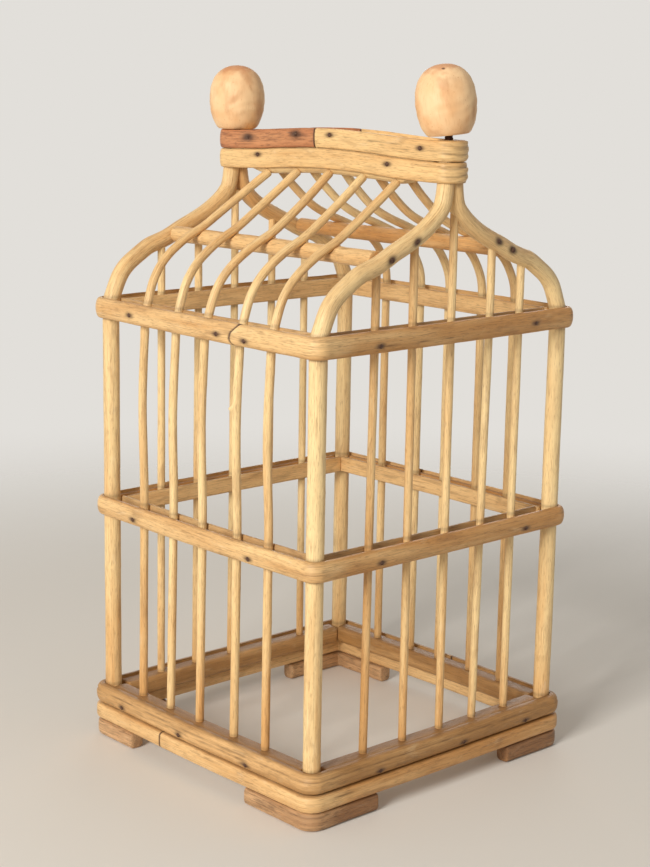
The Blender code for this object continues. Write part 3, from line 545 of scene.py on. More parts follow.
# %% The recipe of one material
class Recipe(Graph):
    """The nodes of one material, built from the pattern to the shader."""

    def __init__(self, name, roughness=0.5, coat=0.0):
        self.material = bpy.data.materials.new(name)
        self.material.use_nodes = True
        super().__init__(self.material.node_tree)
        self.shader = self.nodes["Principled BSDF"]
        self.feed("Roughness", roughness)
        self.feed("Coat Weight", coat)
        self.feed("Coat Roughness", 0.35)

    def feed(self, name, value):
        """Give one of the shader's own sockets its value."""
        self.join(value, self.shader.inputs[name])

    def noise(self, place, stretch, detail=2.0, distortion=0.0):
        """Noise on a place stretched by a number of waves per metre on each axis."""
        scaled = self.add("ShaderNodeVectorMath", {0: place, 1: stretch}, operation="MULTIPLY")
        node = self.add("ShaderNodeTexNoise", {"Vector": scaled.outputs[0], "Scale": 1.0,
                                               "Detail": detail, "Distortion": distortion})
        return Amount(self, node.outputs[0])

    def between(self, value, low, high):
        """0 below low, 1 above high, and a smooth step between."""
        node = self.add("ShaderNodeMapRange", {"Value": value, "From Min": low, "From Max": high},
                        interpolation_type="SMOOTHSTEP")
        return Amount(self, node.outputs[0])

    def blend(self, amount, under, over):
        """A colour over another by an amount."""
        return self.add("ShaderNodeMix", {0: amount, 6: under, 7: over}, data_type="RGBA").outputs[2]

    def stored(self, name, output="Fac"):
        """What each point of the mesh keeps under a name: a number, or with Vector a place."""
        socket = self.add("ShaderNodeAttribute", attribute_name=name).outputs[output]
        return Amount(self, socket)

    def bump(self, height, distance, strength=0.6):
        """Raised and sunk places, a distance in metres for a height of one."""
        sockets = {"Height": height, "Distance": distance, "Strength": strength}
        self.feed("Normal", self.add("ShaderNodeBump", sockets).outputs[0])


print("a recipe can:", [name for name in vars(Recipe) if not name.startswith("_")])

# %% Colours
def tint(red, green, blue):
    """A colour as a screen shows it (0-255), turned into the light it stands for."""
    share = np.array([red, green, blue]) / 255
    light = np.where(share <= 0.04045, share / 12.92, ((share + 0.055) / 1.055) ** 2.4)
    return (*light.tolist(), 1.0)


print("half grey as light:", [round(part, 3) for part in tint(128, 128, 128)])

# %% [markdown]
# ## Peeled rattan
# Peeled rattan is pale straw when new and turns honey brown with light and handling. Long
# vessels run through it, so its colour changes quickly across and slowly along, and short
# dark pits show where a vessel is cut open. Round the nails the iron has stained it. The
# Wave texture's even bands would look painted; noise stretched along the stored grain
# follows each bend and never repeats.

# %% Rattan finish
SCUFFED, STAIN_AND_SHADE_BROWN = tint(255, 238, 204), tint(74, 46, 30)


def rattan(name, pale, honey, brown, streaks=0.4, coat=0.06, relief=1.0):
    """Long streaks, fine fibres and short pits along the grain, over a slow change of tone."""
    recipe = Recipe(name, coat=coat)
    grain, tone, stain = recipe.stored("grain", "Vector"), recipe.stored("tone"), recipe.stored("stain")
    slow = recipe.noise(grain, (16.0, 130.0, 130.0), 2.0)
    stripe = recipe.noise(grain, (7.0, 520.0, 520.0), 2.0)
    streak = recipe.noise(grain, (45.0, 2600.0, 2600.0), 3.0, 0.2)
    fibre = recipe.noise(grain, (120.0, 5000.0, 5000.0), 2.0)
    pits = recipe.noise(grain, (240.0, 2900.0, 2900.0), 1.0)
    grime = recipe.noise(grain, (60.0, 300.0, 300.0), 3.0, 0.4)
    rubbed = recipe.noise(grain, (70.0, 260.0, 260.0), 3.0, 0.5)
    aged = recipe.between(tone + (slow - 0.5) * 1.5 + (stripe - 0.5) * 0.6, -0.1, 1.1)
    dark_streak = recipe.between(streak, 0.50, 0.70)
    scuff = recipe.between(rubbed, 0.58, 0.74) * recipe.between(fibre, 0.42, 0.58)
    open_pit = recipe.between(pits, 0.59, 0.71)
    colour = recipe.blend(aged, pale, honey)
    for amount, over in (
            ((dark_streak + recipe.between(fibre, 0.5, 0.7) * 0.6) * streaks, brown),
            (recipe.between(grime, 0.52, 0.74) * streaks, brown),
            (scuff * 0.25, SCUFFED),
            (open_pit * streaks, brown),
            # The darkest brown stands for iron stains and grime, and also for painted shade in seams,
            # splits, folds and on covered strips.
            (recipe.between(stain, 0.05, 0.95), STAIN_AND_SHADE_BROWN)):
        colour = recipe.blend(amount, colour, over)
    recipe.feed("Base Color", colour)
    recipe.feed("Roughness", 0.46 + dark_streak * 0.12 + scuff * 0.20)
    recipe.bump(stripe * 0.8 + streak * 0.9 + fibre * 0.6 - open_pit * 0.4, 0.34 * MM * relief, 0.8)
    return recipe.material


print("colours of an old stain:", [round(part, 3) for part in STAIN_AND_SHADE_BROWN])

# %% Six rattan finishes
straw = rattan("straw_rattan", tint(255, 226, 168), tint(226, 173, 108), tint(150, 98, 54), 0.30)
honey = rattan("honey_rattan", tint(248, 208, 148), tint(206, 150, 86), tint(124, 80, 42), 0.34)
cane = rattan("pale_cane", tint(250, 210, 148), tint(210, 152, 86), tint(120, 78, 40), 0.26)
umber = rattan("umber_rattan", tint(238, 192, 132), tint(178, 131, 76), tint(96, 66, 34), 0.28, 0.0)
brown = rattan("brown_rattan", tint(228, 184, 136), tint(160, 114, 72), tint(80, 54, 32), 0.5, 0.05,
               1.4)
rosy = rattan("rosy_rattan", tint(222, 158, 108), tint(182, 112, 70), tint(104, 58, 36), 0.5)
print("nodes in a rattan finish:", len(straw.node_tree.nodes))

# %% [markdown]
# ## Nails
# Small iron nails hold the split cane to the poles behind it. Their heads are about 2 mm
# across, driven in flush, and the wood is stained dark along the grain beside each. They
# could be scattered, but a hoop has only a few, each in a place of its own. So the places are
# listed, and listed here, because the pieces they go through need them for their stains.

# %% Where the nails are
def crown(share, thickness):
    """How far a cane's outer face stands out at a share of its half height."""
    return thickness * np.cos(np.arcsin(np.clip(share, -1, 1))) ** 0.6


def hoop_nails(bottom, height, thickness, places):
    """Point, way out and way along of each nail in a hoop's face."""
    found = []
    for side, place, level in places:
        wall = WALLS[side]
        out = HOOP_INSIDE + crown((level * MM - bottom - height / 2) / (height / 2), thickness)
        found.append((wall.point(place * MM, out, level * MM), wall.outward, wall.along))
    return found


def arch_nails(places):
    """Nails in the outer face of the right gable's arches, on their middle line."""
    return [(np.array([HALF_LENGTH + POST / 2, y * MM, arch_level(abs(y) * MM)]), RIGHT.outward,
             np.array([0, -0.86 * np.sign(y), 0.5])) for y in places]


PURLIN_OFFSET = 0.529 * HALF_WIDTH
BAND_THICKNESS = 1.9 * MM
BAND_HALF_WIDTH = POST_TOP_OFFSET + POST / 2 + GAP + BAND_THICKNESS / 2


def ridge_nails(places):
    """Nails in the front face of the ridge bands."""
    out = BAND_HALF_WIDTH + BAND_THICKNESS / 2
    return [(np.array([x * MM, -out, z * MM]), FRONT.outward, FRONT.along) for x, z in places]


print("ridge bands stand", round(BAND_HALF_WIDTH / MM, 2), "mm either side of the middle")

# %% The nails of each piece
nails = {
    "mid_hoop": hoop_nails(MID_HOOP_BOTTOM, MID_HOOP_HEIGHT, HOOP_THICKNESS, (
        ("front", -53.0, 131), ("front", 42.8, 130.5), ("right", -48.8, 131.2),
        ("right", 57.9, 131))),
    "top_hoop": hoop_nails(TOP_HOOP_BOTTOM, TOP_HOOP_HEIGHT, HOOP_THICKNESS, (
        ("front", -55.2, 240.9), ("front", 17.7, 240.3), ("front", 38.5, 239.3),
        ("right", -53, 239.7), ("right", 59.2, 241.1))),
    "base_hoop_upper": hoop_nails(UPPER_HOOP_BOTTOM, UPPER_HOOP_HEIGHT, UPPER_HOOP_THICKNESS, (
        ("front", -62.7, 22.3), ("front", -10.9, 22.3), ("front", 43.6, 22.3),
        ("right", -47.3, 22), ("right", 13.7, 22), ("right", 62.9, 22))),
    "post_front_right": arch_nails((-26.1,)),
    "post_back_right": arch_nails((32.8,)),
    "ridge_band_upper_left": ridge_nails(((-61.0, 331.2), (-22.2, 334.5))),
    "ridge_band_upper_right": ridge_nails(((4.6, 335.2), (70.7, 331.7))),
    "ridge_band_lower": ridge_nails(((-53.0, 322.2), (47.8, 322.6))),
}
PURLIN_NAIL = PURLIN_OFFSET / MM - 2.2
purlin_nails = arch_nails((-PURLIN_NAIL, PURLIN_NAIL))
print("nails:", sum(len(group) for group in nails.values()))

# %% The stain beside a nail
def nail_stain(points, group, reach=1.7 * MM, stretch=2.3):
    """A bell round each nail, stretched along the grain."""
    stain = np.zeros(len(points))
    for place, _, along in group:
        away = points - place
        run = away @ along
        side = np.linalg.norm(away - run[:, None] * along, axis=1)
        stain = np.maximum(stain, np.exp(-((run / stretch) ** 2 + side ** 2) / reach ** 2))
    return stain


beside = nails["mid_hoop"][0][0] + FRONT.along * np.array([[0.0], [2.0 * MM], [4.0 * MM]])
print("stain at 0, 2 and 4 mm:", np.round(nail_stain(beside, nails["mid_hoop"][:1]), 2).tolist())

# %% [markdown]
# ## Corner posts
# Each post is a 9 mm pole, steamed and bent into an S over the top hoop. Two posts meet at
# each end of the ridge, where their inner faces are planed flat. A Boolean could cut them,
# but would spoil the even grid, so the skin's points past the plane are laid onto it.

# %% Tones, grime and painted shade of a pole
def tones(points, low, high, top=0.30):
    """Tone from low at the top to high at the base; more in the roof and where hands browned it."""
    roof = 0.35 * np.clip((points[:, 2] - TOP_HOOP_TOP) / (30 * MM), 0, 1)
    base = 0.30 * np.clip((90 * MM - points[:, 2]) / (60 * MM), 0, 1)
    return high + (low - high) * np.clip(points[:, 2] / top, 0, 1) + roof + base


def seat_stain(points, reach=1.4 * MM):
    """Grime gathers where a pole goes into a hoop, and painted shade lies there too: a bell round each
    hoop's edge.
    """
    edges = (UPPER_HOOP_TOP, MID_HOOP_BOTTOM, MID_HOOP_BOTTOM + MID_HOOP_HEIGHT,
             TOP_HOOP_BOTTOM, TOP_HOOP_TOP)
    return 0.4 * sum(np.exp(-((points[:, 2] - level) / reach) ** 2) for level in edges)


def post_stain(name, points):
    """Grime and painted shade at the hoops, and stains round each nail of the arch."""
    group = [*nails.get(name, ()), *purlin_nails]
    return np.maximum(seat_stain(points), nail_stain(points, group, 2.3 * MM, 1.5))


base_and_top = np.array([(0, 0, 30 * MM), (0, 0, TOP_HOOP_TOP)])
print("tone at the base and at the top hoop:", np.round(tones(base_and_top, 0.0, 0.3), 2).tolist())

# %% Posts
for x_name, x_sense, low in (("left", -1, 0.25), ("right", 1, 0.0)):
    for y_name, y_sense in (("front", -1), ("back", 1)):
        seed = next(seeds)
        arch = arch_line(x_sense, y_sense)
        foot = arch[0] * (1, 1, 0) + (0, 0, UPPER_HOOP_BOTTOM)
        line = soften(np.vstack([foot, arch]))
        rows, grain = carried(line, round_section(POST, seed, 0.02, 0.025), RIGHT.outward,
                              around=44, step=1.0 * MM)
        rows[..., 1] = y_sense * np.maximum(rows[..., 1] * y_sense, GAP / 2)
        shell = skin(rows)
        name = "post_%s_%s" % (y_name, x_name)
        dress(name, shell, grain_points(grain, seed), tones(shell[0], low, 0.30),
              post_stain(name, shell[0]), straw)
print("posts:", len(made))

# %% [markdown]
# ## Ribs and bars
# The bars of the two sides under the roof's slopes are not cut at the top hoop. They go on
# over the purlins as ribs, and end in the ridge. The gable bars run straight up into the
# arches. An array of copies would be too even: each bar has its own lean, tone and seed.

# %% One thin pole
def pole_piece(name, line, diameter, reference, low, high, bud=None):
    """A thin pole: a round section carried along its line, and perhaps the scar of a bud."""
    seed = next(seeds)
    rows, grain = carried(line, round_section(diameter, seed), reference, step=1.0 * MM, around=26)
    if bud is not None:
        middle = rows.mean(axis=1, keepdims=True)
        swollen = np.exp(-(np.linalg.norm(rows - bud, axis=-1) / (1.3 * MM)) ** 2)[..., None]
        rows = rows + (rows - middle) * 0.9 * swollen
    shell = skin(rows)
    darker = 0.2 * np.random.default_rng(seed).uniform(-1, 1)
    dress(name, shell, grain_points(grain, seed), tones(shell[0], low + darker, high + darker),
          seat_stain(shell[0]), straw)


print("a rib is", RIB / MM, "mm thick, a bar", BAR / MM, "mm")

# %% Ribs and bars
BUDS = {"front_rib_4": (20.7 * MM, -87.4 * MM, 202.3 * MM)}
GOLDEN = {"right_bar_1": 0.35, "right_bar_2": 0.35}
rib_lines = {}
for side, bars in (("front", FRONT_BARS), ("back", BACK_BARS)):
    for number, shares in enumerate(bars, 1):
        name = "%s_rib_%d" % (side, number)
        rib_lines[name] = rib_line(WALLS[side], shares)
        pole_piece(name, rib_lines[name], RIB, WALLS[side].along, 0.05, 0.40, BUDS.get(name))
for side, bars in (("right", RIGHT_BARS), ("left", LEFT_BARS)):
    for number, shares in enumerate(bars, 1):
        name = "%s_bar_%d" % (side, number)
        golden = GOLDEN.get(name, 0.0)
        pole_piece(name, gable_bar_line(WALLS[side], shares), BAR, WALLS[side].along,
                   0.05 + golden, 0.30 + golden)
print("with ribs and bars:", len(made))

# %% [markdown]
# ## Purlins
# A purlin is a pole from gable to gable that carries the ribs. Each rib lies in a notch filed
# across it. A Boolean could cut the notches, but would leave ragged faces on the grid. A
# notch is a channel of the rib's own round, so points in it are sunk to its floor.

# %% Notched purlins
def notched(points, line, axis, radius):
    """Sink points into a channel round a line: down to where they are a radius from it."""
    nearest = np.linalg.norm(line[:, 1:] - axis[None, 1:], axis=1).argmin()
    ahead = line[nearest + 2] - line[nearest - 2]
    ahead /= np.linalg.norm(ahead)
    sink = axis * (0, 1, 1) - line[nearest] * (0, 1, 1)
    sink -= (sink @ ahead) * ahead
    sink /= np.linalg.norm(sink)
    away = points - line[nearest]
    away -= (away @ ahead)[:, None] * ahead
    down = away @ sink
    side = np.linalg.norm(away - down[:, None] * sink, axis=1)
    floor = np.sqrt(np.maximum(radius ** 2 - side ** 2, 0))
    inside = (side < radius) & (down < floor)
    return points + np.where(inside, floor - down, 0)[:, None] * sink


PURLIN, PURLIN_RISE = 8.6 * MM, 0.8 * MM
# The back purlin's higher tone is painted shade: it is made darker than the front one.
for side, y_sense, tone in (("front", -1, 0.3), ("back", 1, 0.75)):
    seed = next(seeds)
    start, end = (np.array([x * (HALF_LENGTH - POST / 2 - GAP), y_sense * PURLIN_OFFSET,
                            arch_level(PURLIN_OFFSET, x) + PURLIN_RISE]) for x in (-1, 1))
    line = np.linspace(start, end, 30)
    rows, grain = carried(line, round_section(PURLIN, seed, 0.03, 0.05), (0, 0, 1), step=0.5 * MM,
                          around=48)
    points, quads, fans = skin(rows)
    for number in range(1, 6):
        rib = rib_lines["%s_rib_%d" % (side, number)]
        points = notched(points, rib, line.mean(0), RIB / 2 + 0.45 * MM)
    dress("purlin_" + side, (points, quads, fans), grain_points(grain, seed), tone, 0.0, honey)
print("with purlins:", len(made))

# %% [markdown]
# ## Hoops of split cane
# A hoop is one long split cane, flat inside and rounded outside, bent round the four posts.
# A box with rounded corners would show no joint and no run of grain. So its line starts at
# the joint, runs along each wall and turns a quarter circle at each post.

# %% Line of a hoop
ROUND = ((FRONT, 1), (RIGHT, 1), (BACK, -1), (LEFT, -1))


def hoop_line(offset, level, joint_wall, joint_share, butt=0.4 * MM):
    """Once round the cage outside the walls, from one side of the joint to the other."""
    start = [wall is joint_wall for wall, _ in ROUND].index(True)
    order = [ROUND[(start + turn) % 4] for turn in range(5)]
    joint = joint_share * joint_wall.half
    line = []
    for turn, (wall, sense) in enumerate(order):
        first = joint + sense * butt / 2 if turn == 0 else -wall.half * sense
        final = joint - sense * butt / 2 if turn == 4 else wall.half * sense
        line.append(wall.point(np.linspace(first, final, 40), offset, level))
        if turn < 4:
            following = order[turn + 1][0]
            angle = (np.pi / 2 * np.linspace(0, 1, 14)[1:-1])[:, None]
            ring = wall.outward * np.cos(angle) + following.outward * np.sin(angle)
            corner = wall.along * sense * wall.half + wall.outward * wall.distance
            line.append(corner * (1, 1, 0) + (0, 0, level) + ring * offset)
    return np.vstack(line)


one_round = hoop_line(HOOP_INSIDE, TOP_HOOP_BOTTOM, BACK, 0.0)
print("once round:", round(float(walked(one_round)[-1]) / MM), "mm")

# %% Splits, and the painted shade of the right side
def split(grain, start, end, low, high, width=0.35):
    """How deep a split is at each point, its measures in millimetres.

    It is a bell round a line on the outer face, from one level to another, fading at its ends.
    """
    s, a, b = grain[..., 0], grain[..., 1], grain[..., 2]
    share = (s - start * MM) / ((end - start) * MM)
    middle = (low + (high - low) * np.clip(share, 0, 1)) * MM + 0.25 * MM * np.sin(s / (5 * MM))
    fade = np.clip(np.minimum(share, 1 - share) * 12, 0, 1)
    return fade * np.exp(-((b - middle) / (width * MM)) ** 2) * (a > 0)


def right_side_shade(points):
    """1 on the right side, which is painted darker as shade, 0 elsewhere; it fades in at the corner."""
    right = np.clip(points[:, 0] / HALF_LENGTH * 10 - 9, 0, 1)
    return right * np.clip(points[:, 1] / HALF_WIDTH * 6 + 5.7, 0, 1)


# The right side's painted shade, at a point on the front and at one on the right.
print("browned on the front and on the right:", right_side_shade(np.array([(0, -0.09, 0), (0.09, 0, 0)])))

# %% One hoop
def hoop_piece(name, section, line, material, low, splits=(), bend=None, step=0.9 * MM, around=44):
    """A hoop's skin, with its splits sunk in; grime and painted shade in them and on its edges, and
    stains at its nails.
    """
    seed = next(seeds)
    is_hoop, at_base, is_rosy = "hoop" in name, "base" in name, material is rosy
    rows, grain = carried(line, section, (0, 0, 1), step=step, around=around)
    s, b = grain[..., 0], grain[..., 2]
    depth = np.clip(sum((split(grain, *place) for place in splits), np.zeros(s.shape)), 0, 1)
    rows = rows + (rows.mean(axis=1, keepdims=True) - rows) * (0.22 * depth)[..., None]
    edge = np.abs(b) / np.abs(b).max()
    end_dirt = 0.75 * np.exp(-(np.minimum(s, np.ptp(s) - s) / (0.6 * MM)) ** 2)
    # Splits and edges are darkened: grime, and painted shade in the grooves and in the seams between
    # stacked parts. The ends get joint grime.
    shade = np.maximum(0.5 * depth + (0.42 if at_base else 0.26) * edge ** 9, end_dirt)
    if bend is not None:
        rows, dirt_and_shade = bend(rows, grain)
        shade = np.maximum(shade, dirt_and_shade)
    shell = skin(rows)
    at_nails = nail_stain(shell[0], nails.get(name, ()), (2.6 if is_rosy else 1.7) * MM)
    # Each hoop's right side is painted darker as shade; its edges get a browner tone, partly painted
    # shade in the seams.
    tone = low + 0.3 * per_point(edge ** 6) + (0.5 * right_side_shade(shell[0]) if is_hoop else 0)
    dress(name, shell, grain_points(grain, seed), tone,
          np.maximum(per_point(shade), at_nails * 0.9), material)


print("a hoop is", HOOP_THICKNESS / MM, "mm thick")

# %% The lap of the top hoop
TONGUE = ((-5.6, 0.9), (-4.0, -1.6), (-2.1, -2.5), (1.0, -1.2), (4.2, 3.2), (5.6, 4.6))
LAP_SHARE = 0.36


def lap(rows, grain):
    """The hoop's first end lies over its last: a tongue with a round tip, over a thinned end.

    The tip's edge is a curve over the hoop's height; along it, on both ends, lies a dark joint line,
    partly grime and partly painted shadow of the tongue.
    """
    s, a, b = grain[..., 0], grain[..., 1], grain[..., 2]
    total = s.max()
    tip = np.interp(b / MM, *np.array(TONGUE).T) * MM
    near = np.clip(1 - s / (11 * MM), 0, 1) ** 2
    over = near[..., None] * (tip[..., None] * FRONT.along + 0.6 * MM * FRONT.outward)
    last = total - s < 30 * MM
    end = np.where(last, total - s, 1.0)
    under = np.clip(1 - (end - 4 * MM) / (7 * MM), 0, 1)
    sunk = (under * np.maximum(a + 0.4 * MM, 0))[..., None] * 0.75
    longer = np.where(last, np.clip(1 - end / (9 * MM), 0, 1) * 5.5 * MM, 0)
    rows = rows + over - sunk * FRONT.outward + longer[..., None] * FRONT.along
    past = rows[..., 0] - (LAP_SHARE * HALF_LENGTH + tip)
    # A dark line at the tongue's tip: joint grime, and painted shadow where the tongue overhangs.
    dirt_and_shade = np.exp(-np.where(last, (past + 0.8 * MM) / (1.5 * MM), s / (0.8 * MM)) ** 2)
    return rows, dirt_and_shade


print("the lap is", round(float(LAP_SHARE * HALF_LENGTH) / MM, 1), "mm right of the front's middle")

# %% The four hoops
for name, bottom, height, joint, tongue in (
        ("mid_hoop", MID_HOOP_BOTTOM, MID_HOOP_HEIGHT, (BACK, -0.25), None),
        ("top_hoop", TOP_HOOP_BOTTOM, TOP_HOOP_HEIGHT, (FRONT, LAP_SHARE), lap)):
    line = hoop_line(HOOP_INSIDE + HOOP_THICKNESS / 2, bottom + height / 2, *joint)
    hoop_piece(name, cane_section(HOOP_THICKNESS, height, next(seeds)), line, honey, 0.25,
               ((40, 74, 2.2, 1.2), (90, 150, -3, -2)), tongue, step=0.55 * MM)

line = hoop_line(HOOP_INSIDE + UPPER_HOOP_THICKNESS / 2, UPPER_HOOP_BOTTOM + UPPER_HOOP_HEIGHT / 2,
                 BACK, 0.10)
section = cane_section(UPPER_HOOP_THICKNESS, UPPER_HOOP_HEIGHT, next(seeds))
hoop_piece("base_hoop_upper", section, line, umber, 0.45,
           ((60, 660, 2.6, 2.2, 0.45), (300, 420, -0.6, 0.2), (130, 260, 0.4, 0.9)))
LOWER_HOOP_BOTTOM, LOWER_HOOP_HEIGHT, LOWER_HOOP_THICKNESS = 9.8 * MM, 9.0 * MM, 9.0 * MM
LOWER_HOOP_OFFSET = 5.0 * MM
line = hoop_line(LOWER_HOOP_OFFSET, LOWER_HOOP_BOTTOM + LOWER_HOOP_HEIGHT / 2, FRONT, -0.33)
section = block_section(LOWER_HOOP_THICKNESS, LOWER_HOOP_HEIGHT, next(seeds), 0.02)
hoop_piece("base_hoop_lower", section, line, honey, 0.22, ((120, 230, 1.5, 0.5),))
print("hoops done:", len(made))

# %% [markdown]
# ## Rails, inner strips and fillers
# Behind the upper base hoop a drilled rail holds the feet of the bars. Behind the mid and top
# hoops a thin strip closes the sandwich on the inside, and at the mid hoop a filler packs the
# gaps between the bars. All could be plain boxes, but they bow with their wall, so they are
# carried along its line.

# %% One rail, strip or filler
def rail_piece(name, wall, inner, outer, bottom, top, reach, material, low, shade_behind_hoop=0.0):
    """A block section carried along a wall between two distances from its line.

    A strip's outer half, which the hoop covers, is painted darker: painted shade.
    """
    seed = next(seeds)
    line = wall.point(np.linspace(-reach, reach, 60), (inner + outer) / 2, (bottom + top) / 2)
    rows, grain = carried(line, block_section(outer - inner, top - bottom, seed, 0.02), (0, 0, 1))
    height = np.abs(grain[..., 2])
    edge = per_point((height / height.max()) ** 8)
    side = rows @ wall.outward
    behind = per_point(side > side.mean(), 1.0) * shade_behind_hoop
    # Top and bottom edges are darkened: painted shade in the seams, with some grime.
    dress(name, skin(rows), grain_points(grain, seed), low + 0.3 * edge,
          np.maximum(0.45 * edge, behind), material)


RAIL_REACH_IN, STRIP, STRIP_SETBACK = 6.6 * MM, 2.2 * MM, 0.6 * MM
print("a strip is", STRIP / MM, "mm thick and set back by", STRIP_SETBACK / MM, "mm")

# %% Rails, strips and fillers
for side, wall in WALLS.items():
    gable = side in ("left", "right")
    radius = BAR / 2 if gable else RIB / 2
    # The base rails' dark tone is partly painted shade: they stand inside the upper base hoop.
    rail_piece("base_rail_" + side, wall, -RAIL_REACH_IN, POST / 2, UPPER_HOOP_BOTTOM,
               UPPER_HOOP_TOP - STRIP_SETBACK,
               wall.half - (RAIL_REACH_IN if gable else POST / 2) - GAP, umber, 0.85)
    bar_back = -BAR_INSET - radius - GAP
    long_inside = -BAR_INSET - RIB / 2 - GAP - STRIP
    strip_reach = wall.half + long_inside - GAP if gable else wall.half - POST / 4 - 2 * GAP
    for level, bottom, height in (("mid", MID_HOOP_BOTTOM, MID_HOOP_HEIGHT),
                                  ("top", TOP_HOOP_BOTTOM, TOP_HOOP_HEIGHT)):
        rail_piece("%s_inner_strip_%s" % (level, side), wall, bar_back - STRIP, bar_back,
                   bottom + STRIP_SETBACK, bottom + height - STRIP_SETBACK, strip_reach,
                   honey, 0.15, shade_behind_hoop=0.4)
    rail_piece("mid_filler_" + side, wall, -BAR_INSET + radius + GAP, POST / 2,
               MID_HOOP_BOTTOM + STRIP_SETBACK, MID_HOOP_BOTTOM + MID_HOOP_HEIGHT - 2 * STRIP_SETBACK,
               wall.half - POST / 2 - GAP, honey, 0.9)
print("with rails and strips:", len(made))

# %% [markdown]
# ## Feet
# A short thick piece, bent to a right angle, lies under each corner. It keeps its brown skin.
# Two boxes could make the angle, but the grain has to turn with it, so a rail's section is
# carried round the corner, and the points under the table's level are laid onto it.

# %% Feet
FOOT_HEIGHT, FOOT_WIDTH, FOOT_ARM, FOOT_OFFSET = 9.5 * MM, 8.4 * MM, 42.0 * MM, 4.6 * MM
for corner, x_sense, y_sense, x_arm, y_arm in (
        ("front_left", -1, -1, 0.67, 0.93), ("front_right", 1, -1, 1.0, 0.93),
        ("back_right", 1, 1, 0.95, 0.86), ("back_left", -1, 1, 0.90, 0.90)):
    seed = next(seeds)
    across, aside = np.array([x_sense, 0, 0.0]), np.array([0, y_sense, 0.0])
    middle = np.array([x_sense * HALF_LENGTH, y_sense * HALF_WIDTH, FOOT_HEIGHT / 2])
    angle = np.linspace(0, np.pi / 2, 12)[:, None]
    line = middle + np.vstack([aside * FOOT_OFFSET - across * FOOT_ARM * x_arm,
                               (aside * np.cos(angle) + across * np.sin(angle)) * FOOT_OFFSET,
                               across * FOOT_OFFSET - aside * FOOT_ARM * y_arm])
    section = block_section(FOOT_WIDTH, FOOT_HEIGHT, seed, 0.04)
    rows, grain = carried(line[::-x_sense * y_sense], section, (0, 0, 1), rounding=0.9 * MM,
                          step=0.8 * MM, around=40)
    points, quads, fans = skin(rows)
    points[:, 2] = np.maximum(points[:, 2], 0)
    # A foot's right side is painted darker: painted shade.
    dress("foot_" + corner, (points, quads, fans), grain_points(grain, seed),
          0.45 + 0.7 * right_side_shade(points), 0.0, brown)
print("with feet:", len(made))

# %% [markdown]
# ## The ridge
# Two rows of split cane are wrapped round the post tops and the ridge core, and nailed. The
# upper row is in two lengths: the left one is darker and redder. Near the right end the cane
# has split along its grain where it was bent hard. A flat ring could be given these marks by
# a bump map, but they break its outline, so the skin's own points are moved.

# %% The loop round the ridge
BAND_END_REACH = 5.9 * MM


def ridge_loop(turn):
    """Plan of the loop round the ridge: turns 0-1 front, 1-2 right end, 2-3 back, 3-4 left end."""
    quarter = np.floor(turn).astype(int) % 4
    share = turn - np.floor(turn)
    sense = np.where(quarter < 2, 1, -1)
    angle = np.pi * share
    reach = BAND_END_REACH + BAND_THICKNESS / 2
    straight = quarter % 2 == 0
    x = np.where(straight, HALF_LENGTH * (2 * share - 1), HALF_LENGTH + reach * np.sin(angle))
    y = np.where(straight, -BAND_HALF_WIDTH, -BAND_HALF_WIDTH * np.cos(angle))
    return sense * x, sense * y


print("right end of the loop:", np.round(np.array(ridge_loop(np.array([1.5]))) / MM, 1).tolist())

# %% The creases of its bends
def folds(rows, grain):
    """The cane buckles at the right end: low folds that run round the bend, with painted shade in their
    hollows.
    """
    s, a, b = grain[..., 0], grain[..., 1], grain[..., 2]
    middle = rows.mean(axis=1, keepdims=True)
    out = (middle - (HALF_LENGTH, 0, 0)) * (1, 1, 0)
    out = out / np.maximum(np.linalg.norm(out, axis=-1, keepdims=True), MM)
    bent = np.clip((middle[..., 0] - 0.97 * HALF_LENGTH) / (5 * MM), 0, 1)
    wave = np.sin(b / (0.62 * MM) + 1.6 * np.sin(s / (5 * MM))) * bent * (a > 0)
    # The second value is painted shade in the hollows of the folds.
    return rows + out * (0.26 * MM * wave)[..., None], 0.45 * np.clip(-wave, 0, 1)


def band_line(bottom, start, end):
    """The loop between two turns, lifted with the ridge."""
    hair = 0.4 * MM / (4 * HALF_LENGTH)
    x, y = ridge_loop(np.linspace(start + hair, end - hair, 900))
    z = bottom + RIDGE_BAND_HEIGHT / 2 + ridge_lift(np.clip(x, -HALF_LENGTH, HALF_LENGTH))
    return np.stack([x, y, z], axis=1)


print("once round the ridge:", round(float(walked(band_line(0.0, 0, 4))[-1]) / MM), "mm")

# %% Ridge core
LAP_HALF_WIDTH, CORE_DROP = POST_TOP_OFFSET + POST / 2, 3.2 * MM
seed = next(seeds)
core_bottom, core_top = RIDGE_BOTTOM - CORE_DROP, RIDGE_TOP - 1.0 * MM
along = np.linspace(-1, 1, 120) * (HALF_LENGTH - POST / 2 - 2 * GAP)
line = np.stack([along, 0 * along, (core_bottom + core_top) / 2 + ridge_lift(along)], axis=1)
rows, grain = carried(line, block_section(2 * LAP_HALF_WIDTH, core_top - core_bottom, seed, 0.02),
                      (0, 0, 1), around=40)
x = rows[..., 0]
lowered = CORE_DROP * np.clip((60 * MM - np.abs(x)) / (8 * MM), 0, 1)
rows[..., 2] = np.maximum(rows[..., 2], RIDGE_BOTTOM + ridge_lift(x) - lowered)
dress("ridge_core", skin(rows), grain_points(grain, seed), 0.3, 0.0, straw)
print("ridge core rows:", len(rows))

